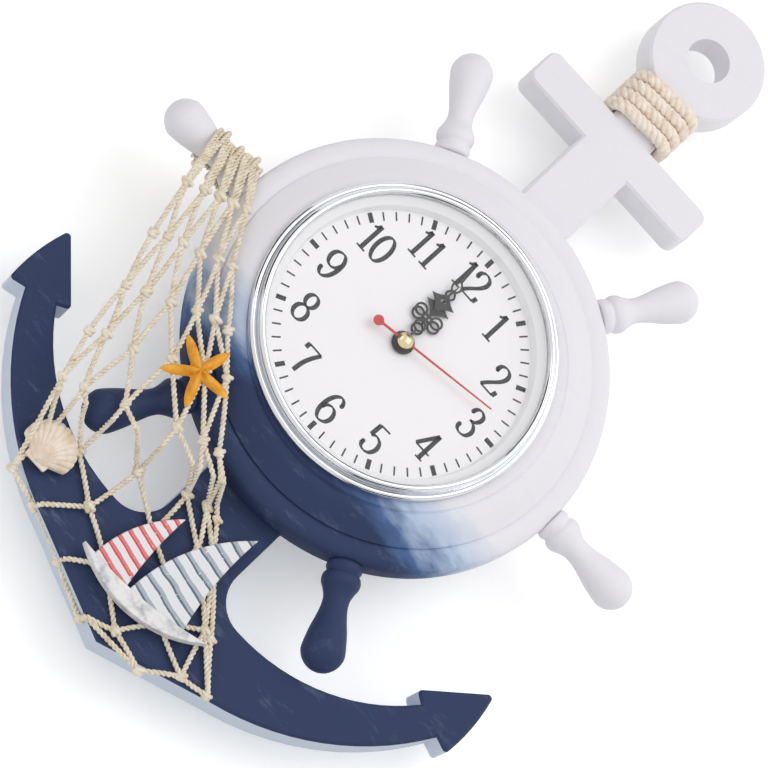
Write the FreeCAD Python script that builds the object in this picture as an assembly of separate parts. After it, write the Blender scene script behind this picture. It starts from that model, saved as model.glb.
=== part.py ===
import FreeCAD, Part
import math
import os

# Wall clock: a painted anchor board, a ship's wheel on its front, a round quartz insert in the
# wheel, and a twine net with a starfish, a scallop shell and a sailing boat.
# Frame: X to the right, Z up, the wall is the plane Y = 0 and the dial looks towards -Y.
# The origin is on the wheel's axis. Lengths are millimetres, angles are degrees.
# "Height" is a distance out from the wall, so a point at height h lies at Y = -h.

# Anchor board, with places measured from the wheel's axis
board_thick = 13.2
board_edge_bevel = 0.9
eye_radius = 22.6
eye_hole_radius = 8.35
neck_length = 20.2
neck_half = 9.8
neck_edge_round = 2.6
stock_top = 128.0
stock_tall = 15.5
stock_half = 40.6
stock_end_round = 3.8
shank_half_top = 11.4
shank_half_low = 16.6
hub_radius = 69.0
hub_fillet_top = 13.0
hub_fillet_low = 9.0
crown_down = 147.1
crown_flat_side = 40.4
crown_flat_down = 132.3
arm_outer_side = 76.8
arm_outer_down = 112.3
arm_notch_side = 101.5
arm_notch_down = 81.8
barb_outer_side = 107.5
barb_outer_down = 83.6
fluke_belly = 107.9
fluke_tip_side = 105.5
fluke_tip_down = 55.9
barb_inner_side = 85.7
barb_inner_down = 75.2
arm_root_side = 90.0
arm_root_down = 78.0
arm_inner_side = 63.0
arm_inner_down = 100.9
bay_floor_side = 29.6
bay_floor_down = 108.6
bay_corner_down = 95.5
fluke_round = 1.4

# Wheel rim on the front of the board
wheel_radius = 76.5
rim_shoulder_wide = 1.6
rim_shoulder_fall = 0.7
rim_side_fall = 2.6
rim_rise = 9.9
rim_crown = 0.5
step_radius = 68.4
step_rise = 0.9
dome_mid_radius = 63.6
dome_mid_rise = 13.2
seat_rise = 15.4
seat_radius = 56.6
groove_wide = 1.4
groove_deep = 0.7
bore_radius = 52.5

# Turned handles
handle_rise = 4.8
handle_length = 38.4
handle_bulb_radius = 7.55
# Turner's marks up to the grip: radius, and rise above the rim
handle_marks = [
    (5.7, 0.0), (6.2, 1.9), (5.7, 3.5), (6.7, 5.4), (6.5, 8.2),
    (4.5, 12.4), (4.8, 17.2), (6.7, 24.6),
]
handle_sides = 18
handle_end_turns = [5.0, 35.0, 62.0, 80.0]
tenon_radius = 3.5
tenon_length = 9.0
tenon_clear = 0.05
hours_with_handles = [1, 3, 5, 7, 9, 11]
hour_turn = 30.0

# Rope wound round the neck
rope_diameter = 4.7
rope_pitch = 5.15
rope_end_gap = 2.0
rope_clear = 0.3
rope_sides = 6
rope_samples = 30

# Clock insert, pushed into the wheel's bore and standing a little left of the wheel's axis
insert_shift = 2.7
cup_radius = 49.5
cup_wall = 0.6
cup_back_height = 7.0
cup_lip = 6.5
cup_flange_radius = 55.0
cup_flange_thick = 0.6
dial_height = 25.9
dial_thick = 0.6
bezel_radius = 55.6
bezel_outer_crest = 54.4
bezel_outer_rise = 2.9
bezel_valley = 53.2
bezel_valley_rise = 2.3
bezel_opening = 50.6
bezel_inner_rise = 5.7
bead_flat_share = 0.4
lens_rise = 2.9
lens_thick = 1.2
lens_radius = 52.0
reflector_foot_radius = 47.0
reflector_wall = 0.6
stack_clear = 0.1

# Quartz movement behind the dial
case_half = 28.0
case_deep = 16.5
case_wall = 1.2
case_corner_round = 3.0
cover_thick = 1.2
divider_down = 11.0
cell_radius = 7.1
cell_length = 48.5
cell_nub_radius = 2.7
cell_nub_length = 1.6
cell_wall_clear = 0.15
contact_thick = 0.4
contact_wide = 9.0
contact_bow = 2.3
bush_outer_radius = 3.4
bush_front_rise = 0.5
tube_clear = 0.08
hour_tube_radius = 2.5
minute_tube_radius = 1.66
tube_foot_thick = 0.3
seconds_arbor_radius = 0.75
stud_radius = 0.8
pivot_radius = 0.6
pin_sides = 16
pivot_length = 1.0
end_shake = 0.1
wheel_thick = 0.8
pinion_thick = 1.0
train_module = 0.4
seconds_module = 0.5
plate_thick = 0.6
train_plate_sides = (-23.0, 23.0, -10.0, 16.4)
train_posts = [(-20.5, 12.0), (-20.5, -7.0), (20.0, 12.0), (20.0, -7.0)]
circuit_posts = [(-22.0, 21.0), (-5.0, 21.0)]
post_radius = 1.8

# Heights of the wheels above the case's back edge
rotor_rise = 6.2
seconds_rise = 7.8
plate_rise = 8.9
third_rise = 9.7
centre_rise = 11.2
cannon_rise = 12.7
hour_rise = 14.1
stator_rise = 4.3
circuit_rise = 10.6

# Tooth counts, and the form of a tooth in shares of its pitch and its module
rotor_teeth = 6
intermediate_teeth = 36
intermediate_leaves = 6
seconds_teeth = 30
seconds_leaves = 6
third_teeth = 45
third_leaves = 6
centre_teeth = 48
cannon_leaves = 10
motion_teeth = 30
motion_leaves = 8
hour_teeth = 32
knob_leaves = 10
tooth_root_share = 0.26
tooth_tip_share = 0.11
addendum_share = 0.6
dedendum_share = 0.9

# Directions between arbors, counted anticlockwise from X as seen from the front
intermediate_turn = 40.0
rotor_turn = 60.0
third_turn = 150.0
motion_turn = 0.0
knob_turn = -30.0

# Motor, electronics and setting knob
magnet_radius = 2.6
magnet_thick = 1.8
stator_hole_clear = 0.4
stator_thick = 0.8
stator_half = 10.0
stator_bar = 2.4
stator_below = 4.6
coil_radius = 3.4
coil_flange_radius = 4.1
coil_flange_thick = 0.9
coil_up = 22.0
circuit_left = -25.0
circuit_bottom = 16.0
circuit_wide = 24.0
circuit_tall = 10.4
circuit_thick = 0.8
chip_share = 0.6
chip_radius = 3.0
chip_thick = 1.0
crystal_radius = 1.0
crystal_length = 6.0
crystal_inset = 3.0
knob_radius = 5.0
knob_thick = 1.6
knob_rise = 0.5
knob_shaft_radius = 1.2
knob_grips = 12

# Hands
hand_thick = 0.35
hour_hand_height = 26.9
minute_hand_height = 28.0
seconds_hand_height = 29.1
hour_hand_length = 29.7
minute_hand_length = 38.2
seconds_hand_length = 37.5
seconds_tail_length = 11.4
seconds_hand_width = 0.9
seconds_hub_radius = 1.9
seconds_hub_drop = 0.4
seconds_disc_radius = 1.9
hour_hub_radius = 4.2
minute_hub_radius = 3.2
hand_line = 0.75
hand_link_radius = 2.4
hand_scroll_radius = 2.45
hand_scroll_side = 3.6
hand_horn_side = 5.2
hand_leaf_side = 2.1
hand_waist_share = 0.34
hand_leaf_share = 0.7
hand_eye_share = 0.2
hour_hand_turn = 1.2
minute_hand_turn = 2.0
seconds_hand_turn = -79.8
cap_radius = 2.9
cap_edge = 0.4
cap_height = 1.5

# Places along a hand, in shares of its length: link, scrolls, lozenge from end to end, leaf
hour_hand_shares = [0.25, 0.40, 0.467, 0.617, 0.733, 0.75, 0.93]
minute_hand_shares = [0.22, 0.346, 0.42, 0.545, 0.64, 0.66, 0.82]

# Twine net: one holed sheet, gathered over the handle at 9 and fanned over the lower left arm
net_thick = 1.6
twine_width = 1.7
net_height = 28.3
net_board_clear = 0.3
net_top_up = 8.6
net_fold_up = 4.0
net_back_height = 21.0
net_top_left = 96.0
net_top_right = 79.5
net_left_bow_side = 84.0
net_left_bow_down = 60.0
net_left_end_side = 66.0
net_left_end_down = 117.5
net_right_bow_side = 39.5
net_right_bow_down = 60.8
net_right_end_side = 38.0
net_right_end_down = 130.0
net_crown_sag = 14.5
net_fall_gap = 4.7
net_fall_run = 5.4
net_fall_turn = 19.0
net_fall_hour = 7
net_meshes_across = 6
net_row_shares = [0.0, 0.15, 0.27, 0.37, 0.46, 0.55, 0.64, 0.73, 0.82, 0.91, 1.0]

# Ornaments glued on the net
glue_gap = 0.3
starfish_left = 42.2
starfish_down = 63.8
starfish_radius = 12.8
starfish_core_radius = 3.6
starfish_rise = 3.6
starfish_thin_share = 0.5
starfish_turn = 79.0
starfish_arms = 5
starfish_arm_steps = 8
starfish_arm_power = 3
shell_left = 56.7
shell_down = 122.4
shell_radius = 15.4
shell_rise = 5.2
shell_edge = 1.0
shell_half_turn = 62.0
shell_round_share = 0.36
shell_ribs = 9
shell_rib_deep = 0.7
shell_ear_half = 4.4
shell_ear_up = 3.0
shell_ear_thick = 1.4
hull_thick = 4.4
hull_bow_left = 26.7
hull_bow_down = 128.8
hull_keel_left = 4.0
hull_keel_down = 134.4
hull_stern_right = 25.4
hull_stern_down = 121.9
hull_deck_right = 2.0
hull_deck_down = 127.6
sail_thick = 3.0
fore_tip_left = 9.0
fore_tip_down = 97.3
fore_foot_left = 21.6
fore_foot_right = 6.2
fore_foot_down = 129.8
fore_luff_left = 17.8
fore_luff_down = 110.6
fore_leech_left = 8.7
fore_leech_down = 112.5
main_tip_right = 12.7
main_tip_down = 83.5
main_foot_left = 5.2
main_foot_left_down = 129.4
main_foot_right = 17.3
main_foot_right_down = 126.0
main_luff_right = 0.9
main_luff_down = 100.7
main_leech_right = 13.0
main_leech_down = 103.7

# Starfish from rim to middle: share of its reach, and share of its rise
starfish_dome_shares = [(1.0, 0.12), (0.85, 0.6), (0.55, 0.92), (0.2, 1.0)]

# Shell's back from hinge to rim: share of its radius, and share of its rise
shell_dome_shares = [(0.06, 0.30), (0.2, 0.78), (0.4, 1.0), (0.62, 0.86), (0.82, 0.5), (1.0, 0.06)]
shell_side_share = 0.7

# Sine of the turn under which two sides of an outline count as one
straight_share = 0.001

# One length by which every cutting tool runs past what it cuts
overrun = 2.0

# Heights worked out from the sizes above
rim_front = board_thick + rim_rise
seat_height = board_thick + seat_rise
handle_height = board_thick + handle_rise
handle_bulb_place = wheel_radius + handle_length - handle_bulb_radius
stock_under = stock_top - stock_tall
eye_up = stock_top + neck_length + eye_radius
rope_half_laps = int(2 * (neck_length - rope_end_gap) / rope_pitch)
dial_back = dial_height - dial_thick
case_back = dial_back - case_deep
case_inside_front = dial_back - case_wall
plate_low = case_back + plate_rise
plate_high = plate_low + plate_thick
rotor_level = case_back + rotor_rise
seconds_level = case_back + seconds_rise
third_level = case_back + third_rise
centre_level = case_back + centre_rise
cannon_level = case_back + cannon_rise
hour_level = case_back + hour_rise
stator_low = case_back + stator_rise
circuit_low = case_back + circuit_rise
lens_low = seat_height + lens_rise
net_low = board_thick + net_board_clear
net_front = net_low + net_thick
net_top = net_height + net_thick
ornament_low = net_front + glue_gap

UP = FreeCAD.Vector(0, 0, 1)


def at(x, z, height):
    return FreeCAD.Vector(x, -height, z)


def cylinder(x, z, radius, low, high):
    return Part.makeCylinder(radius, high - low, at(x, z, low), FreeCAD.Vector(0, -1, 0))


def pin(x, z, radius, low, high):
    """Small round piece, made many-sided, which is round enough at its size."""
    points = []
    for index in range(pin_sides):
        turn = 2 * math.pi * index / pin_sides
        points.append(at(x + radius * math.cos(turn), z + radius * math.sin(turn), low))
    return Part.Face(Part.makePolygon(points + points[:1])).extrude(FreeCAD.Vector(0, low - high, 0))


def tube(x, z, outer, inner, low, high):
    return cylinder(x, z, outer, low, high).cut(cylinder(x, z, inner, low - overrun, high + overrun))


def block(left, right, bottom, top, low, high):
    return Part.makeBox(right - left, high - low, top - bottom, FreeCAD.Vector(left, -high, bottom))


def outline_edges(start, steps, place):
    """Edges in a row. A step is one end point for a line, or a point to pass and an end point."""
    edges = []
    here = start
    for step in steps:
        if len(step) == 1:
            edges.append(Part.makeLine(place(*here), place(*step[0])))
        else:
            arc = Part.Arc(place(*here), place(*step[0]), place(*step[1]))
            edges.append(arc.toShape())
        here = step[-1]
    return edges


def outline(start, steps, place):
    """Closed wire through the steps, closed by a line where they don't end at the start."""
    edges = outline_edges(start, steps, place)
    last = steps[-1][-1]
    if place(*last).distanceToPoint(place(*start)) > Part.Precision.confusion():
        edges.append(Part.makeLine(place(*last), place(*start)))
    return Part.Wire(edges)


def plate(start, steps, low, high):
    """Flat piece whose outline is given in X and Z."""
    wire = outline(start, steps, lambda x, z: at(x, z, low))
    return Part.Face(wire).extrude(FreeCAD.Vector(0, low - high, 0))


def turned(start, steps, x=0, z=0):
    """Piece turned about an axis along Y, with its half section in radius and height."""
    wire = outline(start, steps, lambda radius, height: at(radius, 0, height))
    solid = Part.Face(wire).revolve(at(0, 0, 0), FreeCAD.Vector(0, 1, 0), 360)
    solid.translate(FreeCAD.Vector(x, 0, z))
    return solid


def mirrored(shape):
    return shape.mirror(at(0, 0, 0), FreeCAD.Vector(1, 0, 0))


def joined(shapes):
    whole = shapes[0].multiFuse(shapes[1:])
    return whole.removeSplitter()


def save(name, shape):
    if shape.ShapeType == "Compound" and len(shape.Solids) == 1:
        shape = shape.Solids[0]
    shape.exportStep("parts/" + name + ".step")
    print(name, "solids", len(shape.Solids), "valid", shape.isValid(), "volume", round(shape.Volume, 1))


def edge_rounded(shape, radius, chosen):
    edges = [edge for edge in shape.Edges if chosen(edge)]
    return shape.makeFillet(radius, edges)


def bevelled(shape, size, chosen):
    edges = [edge for edge in shape.Edges if chosen(edge)]
    return shape.makeChamfer(size, edges)


def along_y(edge):
    first = edge.Vertexes[0].Point
    last = edge.Vertexes[-1].Point
    level = math.hypot(first.x - last.x, first.z - last.z) < Part.Precision.confusion()
    return len(edge.Vertexes) == 2 and level


def on_front(edge):
    return all(abs(vertex.Point.y + board_thick) < Part.Precision.confusion() for vertex in edge.Vertexes)


def under_wheel(edge):
    return all(math.hypot(vertex.Point.x, vertex.Point.z) < wheel_radius for vertex in edge.Vertexes)


def near(edge, places):
    spot = edge.Vertexes[0].Point
    return any(math.hypot(spot.x - x, spot.z - z) < fluke_round for x, z in places)


# Anchor board

def anchor_half():
    """Right half of the arm, the fluke and the lower shank, up to the wheel's axis."""
    steps = [
        [(crown_flat_side, -crown_flat_down)],
        [(arm_outer_side, -arm_outer_down), (arm_notch_side, -arm_notch_down)],
        [(barb_outer_side, -barb_outer_down)],
        [(fluke_belly, -(barb_outer_down + fluke_tip_down) / 2), (fluke_tip_side, -fluke_tip_down)],
        [(barb_inner_side, -barb_inner_down)],
        [(arm_root_side, -arm_root_down)],
        [(arm_inner_side, -arm_inner_down), (bay_floor_side, -bay_floor_down)],
    ]
    # The bay's inner corner is a quarter of an ellipse-like arc, passed at its own middle
    corner_wide = bay_floor_side - shank_half_low
    corner_tall = bay_floor_down - bay_corner_down
    bend_share = 1 - math.sqrt(0.5)
    middle = (shank_half_low + corner_wide * bend_share, -bay_floor_down + corner_tall * bend_share)
    steps.append([middle, (shank_half_low, -bay_corner_down)])
    steps.append([(shank_half_low, 0)])
    steps.append([(0, 0)])
    half = plate((0, -crown_down), steps, 0, board_thick)
    tips = [
        (barb_outer_side, -barb_outer_down),
        (fluke_tip_side, -fluke_tip_down),
        (barb_inner_side, -barb_inner_down),
    ]
    return edge_rounded(half, fluke_round, lambda edge: along_y(edge) and near(edge, tips))


def stock_plate():
    right = stock_half
    steps = [
        [(right, stock_under)],
        [(right, stock_top)],
        [(-right, stock_top)],
        [(-right, stock_under)],
    ]
    bar = plate((0, stock_under), steps, 0, board_thick)
    ends = [(side * right, z) for side in (-1, 1) for z in (stock_under, stock_top)]
    return edge_rounded(bar, stock_end_round, lambda edge: along_y(edge) and near(edge, ends))


def neck_bar():
    """Neck under the rope, with its long edges eased so that the rope lies close."""
    foot = stock_top - stock_end_round
    bar = Part.makeBox(2 * neck_half, board_thick, eye_up - foot, at(-neck_half, foot, board_thick))

    def upright(edge):
        return abs(edge.Vertexes[0].Point.z - edge.Vertexes[-1].Point.z) > neck_half

    return edge_rounded(bar, neck_edge_round, upright)


def anchor_board():
    half = anchor_half()
    shank = block(-shank_half_top, shank_half_top, 0, stock_top - stock_end_round, 0, board_thick)
    hub = cylinder(0, 0, hub_radius, 0, board_thick)
    body = joined([half, mirrored(half), shank, stock_plate(), hub])
    top_join = math.sqrt(hub_radius ** 2 - shank_half_top ** 2)
    low_join = math.sqrt(hub_radius ** 2 - shank_half_low ** 2)
    for side, join, radius in (
        (shank_half_top, top_join, hub_fillet_top),
        (shank_half_low, -low_join, hub_fillet_low),
    ):
        spots = [(side, join), (-side, join)]
        body = edge_rounded(body, radius, lambda edge: along_y(edge) and near(edge, spots))
    body = bevelled(body, board_edge_bevel, lambda edge: on_front(edge) and not under_wheel(edge))
    eye = cylinder(0, eye_up, eye_radius, 0, board_thick)
    eye = bevelled(eye, board_edge_bevel, on_front)
    body = joined([body, neck_bar(), eye])
    body = body.cut(cylinder(0, eye_up, eye_hole_radius, -overrun, board_thick + overrun))
    return body.cut(cylinder(0, 0, bore_radius, -overrun, board_thick + overrun))


# Wheel rim and handles

def stood_out(shape, hour):
    """Turn a piece made along Z to the given hour, at the handles' height."""
    shape.rotate(FreeCAD.Vector(0, 0, 0), FreeCAD.Vector(0, 1, 0), hour_turn * hour)
    shape.translate(FreeCAD.Vector(0, -handle_height, 0))
    return shape


def wheel_rim():
    back = board_thick
    rim_middle = (step_radius + wheel_radius - rim_shoulder_wide) / 2
    start = (bore_radius, back)
    steps = [
        [(bore_radius, seat_height)],
        [(seat_radius, seat_height)],
        [(seat_radius + groove_wide / 2, seat_height - groove_deep)],
        [(seat_radius + groove_wide, seat_height - groove_deep / 2)],
        [(dome_mid_radius, back + dome_mid_rise), (step_radius, rim_front + step_rise)],
        [(step_radius, rim_front)],
        [(rim_middle, rim_front + rim_crown)],
        [(wheel_radius - rim_shoulder_wide, rim_front - rim_shoulder_fall)],
        [(wheel_radius, rim_front - rim_side_fall)],
        [(wheel_radius, back)],
    ]
    ring = turned(start, steps)
    for hour in hours_with_handles:
        foot = FreeCAD.Vector(0, 0, wheel_radius - tenon_length - tenon_clear)
        hole = Part.makeCylinder(tenon_radius + tenon_clear, tenon_length + overrun, foot, UP)
        ring = ring.cut(stood_out(hole, hour))
    return ring


def lathed(marks, sides):
    """Many-sided turned piece, from radius and length marks between two ends on the axis."""
    rings = []
    for radius, length in marks:
        ring = []
        for index in range(sides):
            turn = 2 * math.pi * index / sides
            ring.append(FreeCAD.Vector(radius * math.cos(turn), radius * math.sin(turn), length))
        rings.append(ring)
    faces = [Part.Face(Part.makePolygon(ring + ring[:1])) for ring in (rings[0], rings[-1])]
    for low, high in zip(rings, rings[1:]):
        for index in range(sides):
            after = (index + 1) % sides
            corners = [low[index], low[after], high[after], high[index], low[index]]
            faces.append(Part.Face(Part.makePolygon(corners)))
    solid = Part.makeSolid(Part.makeShell(faces))
    if solid.Volume < 0:
        solid.reverse()
    return solid


def handle(hour):
    """Turned handle: tenon, ring, groove, collar, neck, swelling grip and a round end."""
    marks = [(tenon_radius, wheel_radius - tenon_length), (tenon_radius, wheel_radius)]
    marks += [(radius, wheel_radius + rise) for radius, rise in handle_marks]
    for turn in handle_end_turns:
        angle = math.radians(turn)
        spot = handle_bulb_place + handle_bulb_radius * math.sin(angle)
        marks.append((handle_bulb_radius * math.cos(angle), spot))
    return stood_out(lathed(marks, handle_sides), hour)


# Rope winding on the neck

def biarc(first, leaving, last, arriving):
    """Two arcs that join two points and keep the direction at both of them."""
    step = last - first
    along = step.dot(leaving + arriving)
    bend = 2 * (1 - leaving.dot(arriving))
    reach = (math.sqrt(along * along + bend * step.dot(step)) - along) / bend
    middle = (first + last + (leaving - arriving) * reach) * 0.5
    return [arc_from(first, leaving, middle, 1), arc_from(middle, arriving, last, -1)]


def arc_from(first, direction, last, side):
    """Arc between two points; the direction holds at its first point, or its last for side -1."""
    chord = last - first
    across = direction - chord * (direction.dot(chord) / chord.dot(chord))
    turn = math.atan2(across.Length, direction.dot(chord) / chord.Length)
    rise = across * (side * chord.Length / 2 * math.tan(turn / 2) / across.Length)
    return Part.Arc(first, (first + last) * 0.5 + rise, last).toShape()


def rope_route():
    """Winding's centre line: it climbs at one rate round a rectangle with round corners."""
    stand_off = rope_diameter / 2 + rope_clear
    corner = neck_edge_round + stand_off
    flat_wide = 2 * (neck_half + stand_off - corner)
    flat_deep = board_thick + 2 * (stand_off - corner)
    lap = 2 * (flat_wide + flat_deep) + 2 * math.pi * corner
    climb = rope_pitch / lap
    level = 1 / math.sqrt(1 + climb * climb)
    pieces = [flat_deep, None, flat_wide, None] * rope_half_laps + [flat_deep]

    def heading(turn):
        return FreeCAD.Vector(math.cos(turn), math.sin(turn), 0)

    def slope(turn):
        return (heading(turn) + UP * climb) * level

    side = -(neck_half + stand_off)
    back = -board_thick / 2 + flat_deep / 2
    here = FreeCAD.Vector(side, back, stock_top + rope_diameter / 2 + stack_clear)
    turn = -math.pi / 2
    edges = []
    for length in pieces:
        if length is None:
            ahead = turn + math.pi / 2
            run = math.pi / 2 * corner
            there = here + (heading(turn) + heading(ahead)) * corner + UP * (climb * run)
            edges += biarc(here, slope(turn), there, slope(ahead))
            turn = ahead
        else:
            there = here + (heading(turn) + UP * climb) * length
            edges.append(Part.makeLine(here, there))
        here = there
    return edges, slope(-math.pi / 2)


def rope_section(middle, along):
    """Many-sided section across the rope."""
    across = along.cross(UP).normalize()
    other = along.cross(across).normalize()
    points = []
    for index in range(rope_sides):
        turn = 2 * math.pi * index / rope_sides
        points.append(middle + (across * math.cos(turn) + other * math.sin(turn)) * (rope_diameter / 2))
    return Part.makePolygon(points + points[:1])


def neck_rope():
    edges, leaving = rope_route()
    start = edges[0].Vertexes[0].Point
    section = rope_section(start, leaving)
    route = Part.Wire(edges)
    rope = route.makePipeShell([section], True, False)
    points = route.discretize(Number=rope_samples * rope_half_laps)
    spacing = route.Length / (len(points) - 1)
    apart = int(rope_pitch * rope_half_laps / 2 / spacing) + 1
    gap = min(
        one.distanceToPoint(other)
        for index, one in enumerate(points)
        for other in points[index + apart:]
    )
    print("rope: least gap between turns", round(gap - rope_diameter, 2))
    area = Part.Face(section).Area
    print("rope: volume over section times length", round(rope.Volume / (area * route.Length), 3))
    return rope


# Clock insert

def insert_cup():
    inner = cup_radius - cup_wall
    lip = cup_radius - cup_lip
    flange_top = seat_height + cup_flange_thick
    steps = [
        [(cup_radius, cup_back_height)],
        [(lip, cup_back_height)],
        [(lip, cup_back_height + cup_wall)],
        [(inner, cup_back_height + cup_wall)],
        [(inner, flange_top)],
        [(cup_flange_radius, flange_top)],
        [(cup_flange_radius, seat_height)],
    ]
    return turned((cup_radius, seat_height), steps, -insert_shift)


def dial():
    radius = cup_radius - cup_wall - stack_clear
    hole = bush_outer_radius + tube_clear
    return tube(-insert_shift, 0, radius, hole, dial_back, dial_height)


def reflector_ring():
    """White ring that flares from the dial to the lens."""
    foot = reflector_foot_radius
    top = lens_low - stack_clear
    knee = seat_height + cup_flange_thick + stack_clear
    knee_radius = cup_radius - cup_wall - stack_clear
    start = (foot, dial_height)
    steps = [
        [(knee_radius - reflector_wall, knee)],
        [(bezel_opening, top)],
        [(lens_radius, top)],
        [(lens_radius, top - reflector_wall)],
        [(knee_radius, knee)],
        [(foot + reflector_wall, dial_height)],
    ]
    return turned(start, steps, -insert_shift)


def lens():
    return cylinder(-insert_shift, 0, lens_radius, lens_low, lens_low + lens_thick)


def bezel():
    """Chrome ring with two round beads, gripping the cup's flange and the lens."""
    foot = seat_height + stack_clear
    flange_top = seat_height + cup_flange_thick + stack_clear
    lens_top = lens_low + lens_thick + stack_clear
    inner = cup_flange_radius + stack_clear
    pocket = lens_radius + stack_clear
    outer_top = seat_height + bezel_outer_rise
    inner_top = seat_height + bezel_inner_rise
    bead = bezel_radius - bezel_outer_crest
    small = (bezel_valley - bezel_opening) / 2
    flat = small * bead_flat_share
    start = (bezel_radius, foot)
    steps = [
        [(bezel_radius, outer_top - bead)],
        [(bezel_outer_crest + flat, outer_top)],
        [(bezel_outer_crest - flat, outer_top)],
        [(bezel_valley, seat_height + bezel_valley_rise)],
        [(bezel_valley, inner_top - small)],
        [(bezel_opening + small + flat, inner_top)],
        [(bezel_opening + small - flat, inner_top)],
        [(bezel_opening, inner_top - small)],
        [(bezel_opening, lens_top)],
        [(pocket, lens_top)],
        [(pocket, flange_top)],
        [(inner, flange_top)],
        [(inner, foot)],
    ]
    return turned(start, steps, -insert_shift)


# Movement: places of the arbors

def stepped(place, turn, distance):
    angle = math.radians(turn)
    return place[0] + distance * math.cos(angle), place[1] + distance * math.sin(angle)


def centre_distance(module, one, other):
    return module * (one + other) / 2


hand_arbor = (-insert_shift, 0)
intermediate_place = stepped(
    hand_arbor, intermediate_turn, centre_distance(seconds_module, seconds_teeth, intermediate_leaves)
)
rotor_place = stepped(
    intermediate_place, rotor_turn, centre_distance(train_module, intermediate_teeth, rotor_teeth)
)
third_distance = centre_distance(train_module, third_teeth, seconds_leaves)
third_place = stepped(hand_arbor, third_turn, third_distance)
centre_module = 2 * third_distance / (centre_teeth + third_leaves)
motion_distance = centre_distance(train_module, motion_teeth, cannon_leaves)
motion_place = stepped(hand_arbor, motion_turn, motion_distance)
hour_module = 2 * motion_distance / (hour_teeth + motion_leaves)
knob_place = stepped(motion_place, knob_turn, centre_distance(train_module, motion_teeth, knob_leaves))


def meshed(teeth, phase, other_teeth, turn):
    """Phase that puts a gap of the other wheel where this wheel has a tooth. Angles in radians."""
    direction = math.radians(turn)
    past = (direction - phase) * teeth / (2 * math.pi)
    past -= math.floor(past)
    pitch = 2 * math.pi / other_teeth
    return direction + math.pi + past * pitch + pitch / 2


def toothed(place, teeth, module, phase, low, high):
    """Toothed disc with straight-flanked teeth; the phase is the direction of one tooth."""
    tip = module * (teeth / 2 + addendum_share)
    root = module * (teeth / 2 - dedendum_share)
    pitch = 2 * math.pi / teeth
    wide = tooth_root_share
    narrow = tooth_tip_share
    corners = [(root, -wide), (tip, -narrow), (tip, narrow), (root, wide)]
    points = []
    for tooth in range(teeth):
        for radius, share in corners:
            angle = phase + (tooth + share) * pitch
            points.append(at(place[0] + radius * math.cos(angle), place[1] + radius * math.sin(angle), low))
    wire = Part.makePolygon(points + points[:1])
    return Part.Face(wire).extrude(FreeCAD.Vector(0, low - high, 0))


def arbor(place, low, high):
    """Arbor that reaches into the holes of two supports whose inner faces are at these heights."""
    return cylinder(*place, pivot_radius, low - pivot_length, high + pivot_length)


# Movement: turning pieces

seconds_phase = 0
leaf_phase = meshed(seconds_teeth, seconds_phase, intermediate_leaves, intermediate_turn)
rotor_phase = meshed(intermediate_teeth, 0, rotor_teeth, rotor_turn)
third_phase = meshed(seconds_leaves, seconds_phase, third_teeth, third_turn)
centre_phase = meshed(third_leaves, 0, centre_teeth, third_turn + 180)
motion_phase = meshed(cannon_leaves, 0, motion_teeth, motion_turn)
hour_phase = meshed(motion_leaves, 0, hour_teeth, motion_turn + 180)
knob_phase = meshed(motion_teeth, motion_phase, knob_leaves, knob_turn)


def rotor_pinion():
    shaft = arbor(rotor_place, case_back, plate_low)
    middle = rotor_level + wheel_thick / 2
    low = middle - pinion_thick / 2
    return shaft.fuse(toothed(rotor_place, rotor_teeth, train_module, rotor_phase, low, low + pinion_thick))


def rotor_magnet():
    low = stator_low + stator_thick / 2 - magnet_thick / 2
    high = low + magnet_thick
    bore = cylinder(*rotor_place, pivot_radius, low - overrun, high + overrun)
    return pin(*rotor_place, magnet_radius, low, high).cut(bore)


def intermediate_wheel():
    place = intermediate_place
    top = rotor_level + wheel_thick
    wheel = toothed(place, intermediate_teeth, train_module, 0, rotor_level, top)
    leaves_top = seconds_level + wheel_thick
    leaves = toothed(place, intermediate_leaves, seconds_module, leaf_phase, top, leaves_top)
    return joined([arbor(place, case_back, plate_low), wheel, leaves])


def seconds_wheel():
    place = hand_arbor
    top = seconds_level + wheel_thick
    wheel = toothed(place, seconds_teeth, seconds_module, seconds_phase, seconds_level, top)
    leaves_top = third_level + pinion_thick
    leaves = toothed(place, seconds_leaves, train_module, seconds_phase, third_level, leaves_top)
    shaft = pin(*place, seconds_arbor_radius, case_back - pivot_length, seconds_hand_height + hand_thick)
    return joined([shaft, wheel, leaves])


def third_wheel():
    place = third_place
    top = third_level + wheel_thick
    wheel = toothed(place, third_teeth, train_module, third_phase, third_level, top)
    leaves = toothed(place, third_leaves, centre_module, 0, top, centre_level + pinion_thick)
    return joined([arbor(place, plate_high, case_inside_front), wheel, leaves])


def centre_wheel():
    place = hand_arbor
    top = centre_level + wheel_thick
    wheel = toothed(place, centre_teeth, centre_module, centre_phase, centre_level, top)
    return wheel.cut(pin(*place, minute_tube_radius + tube_clear, centre_level - overrun, top + overrun))


def cannon_pinion():
    place = hand_arbor
    low = centre_level - end_shake
    foot = low - tube_foot_thick
    pipe = pin(*place, minute_tube_radius, foot, minute_hand_height + hand_thick)
    flange = pin(*place, hour_tube_radius, foot, low)
    leaves = toothed(place, cannon_leaves, train_module, 0, cannon_level, cannon_level + pinion_thick)
    bore = seconds_arbor_radius + tube_clear
    whole = joined([pipe, flange, leaves])
    return whole.cut(pin(*place, bore, foot - overrun, minute_hand_height + overrun))


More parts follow.
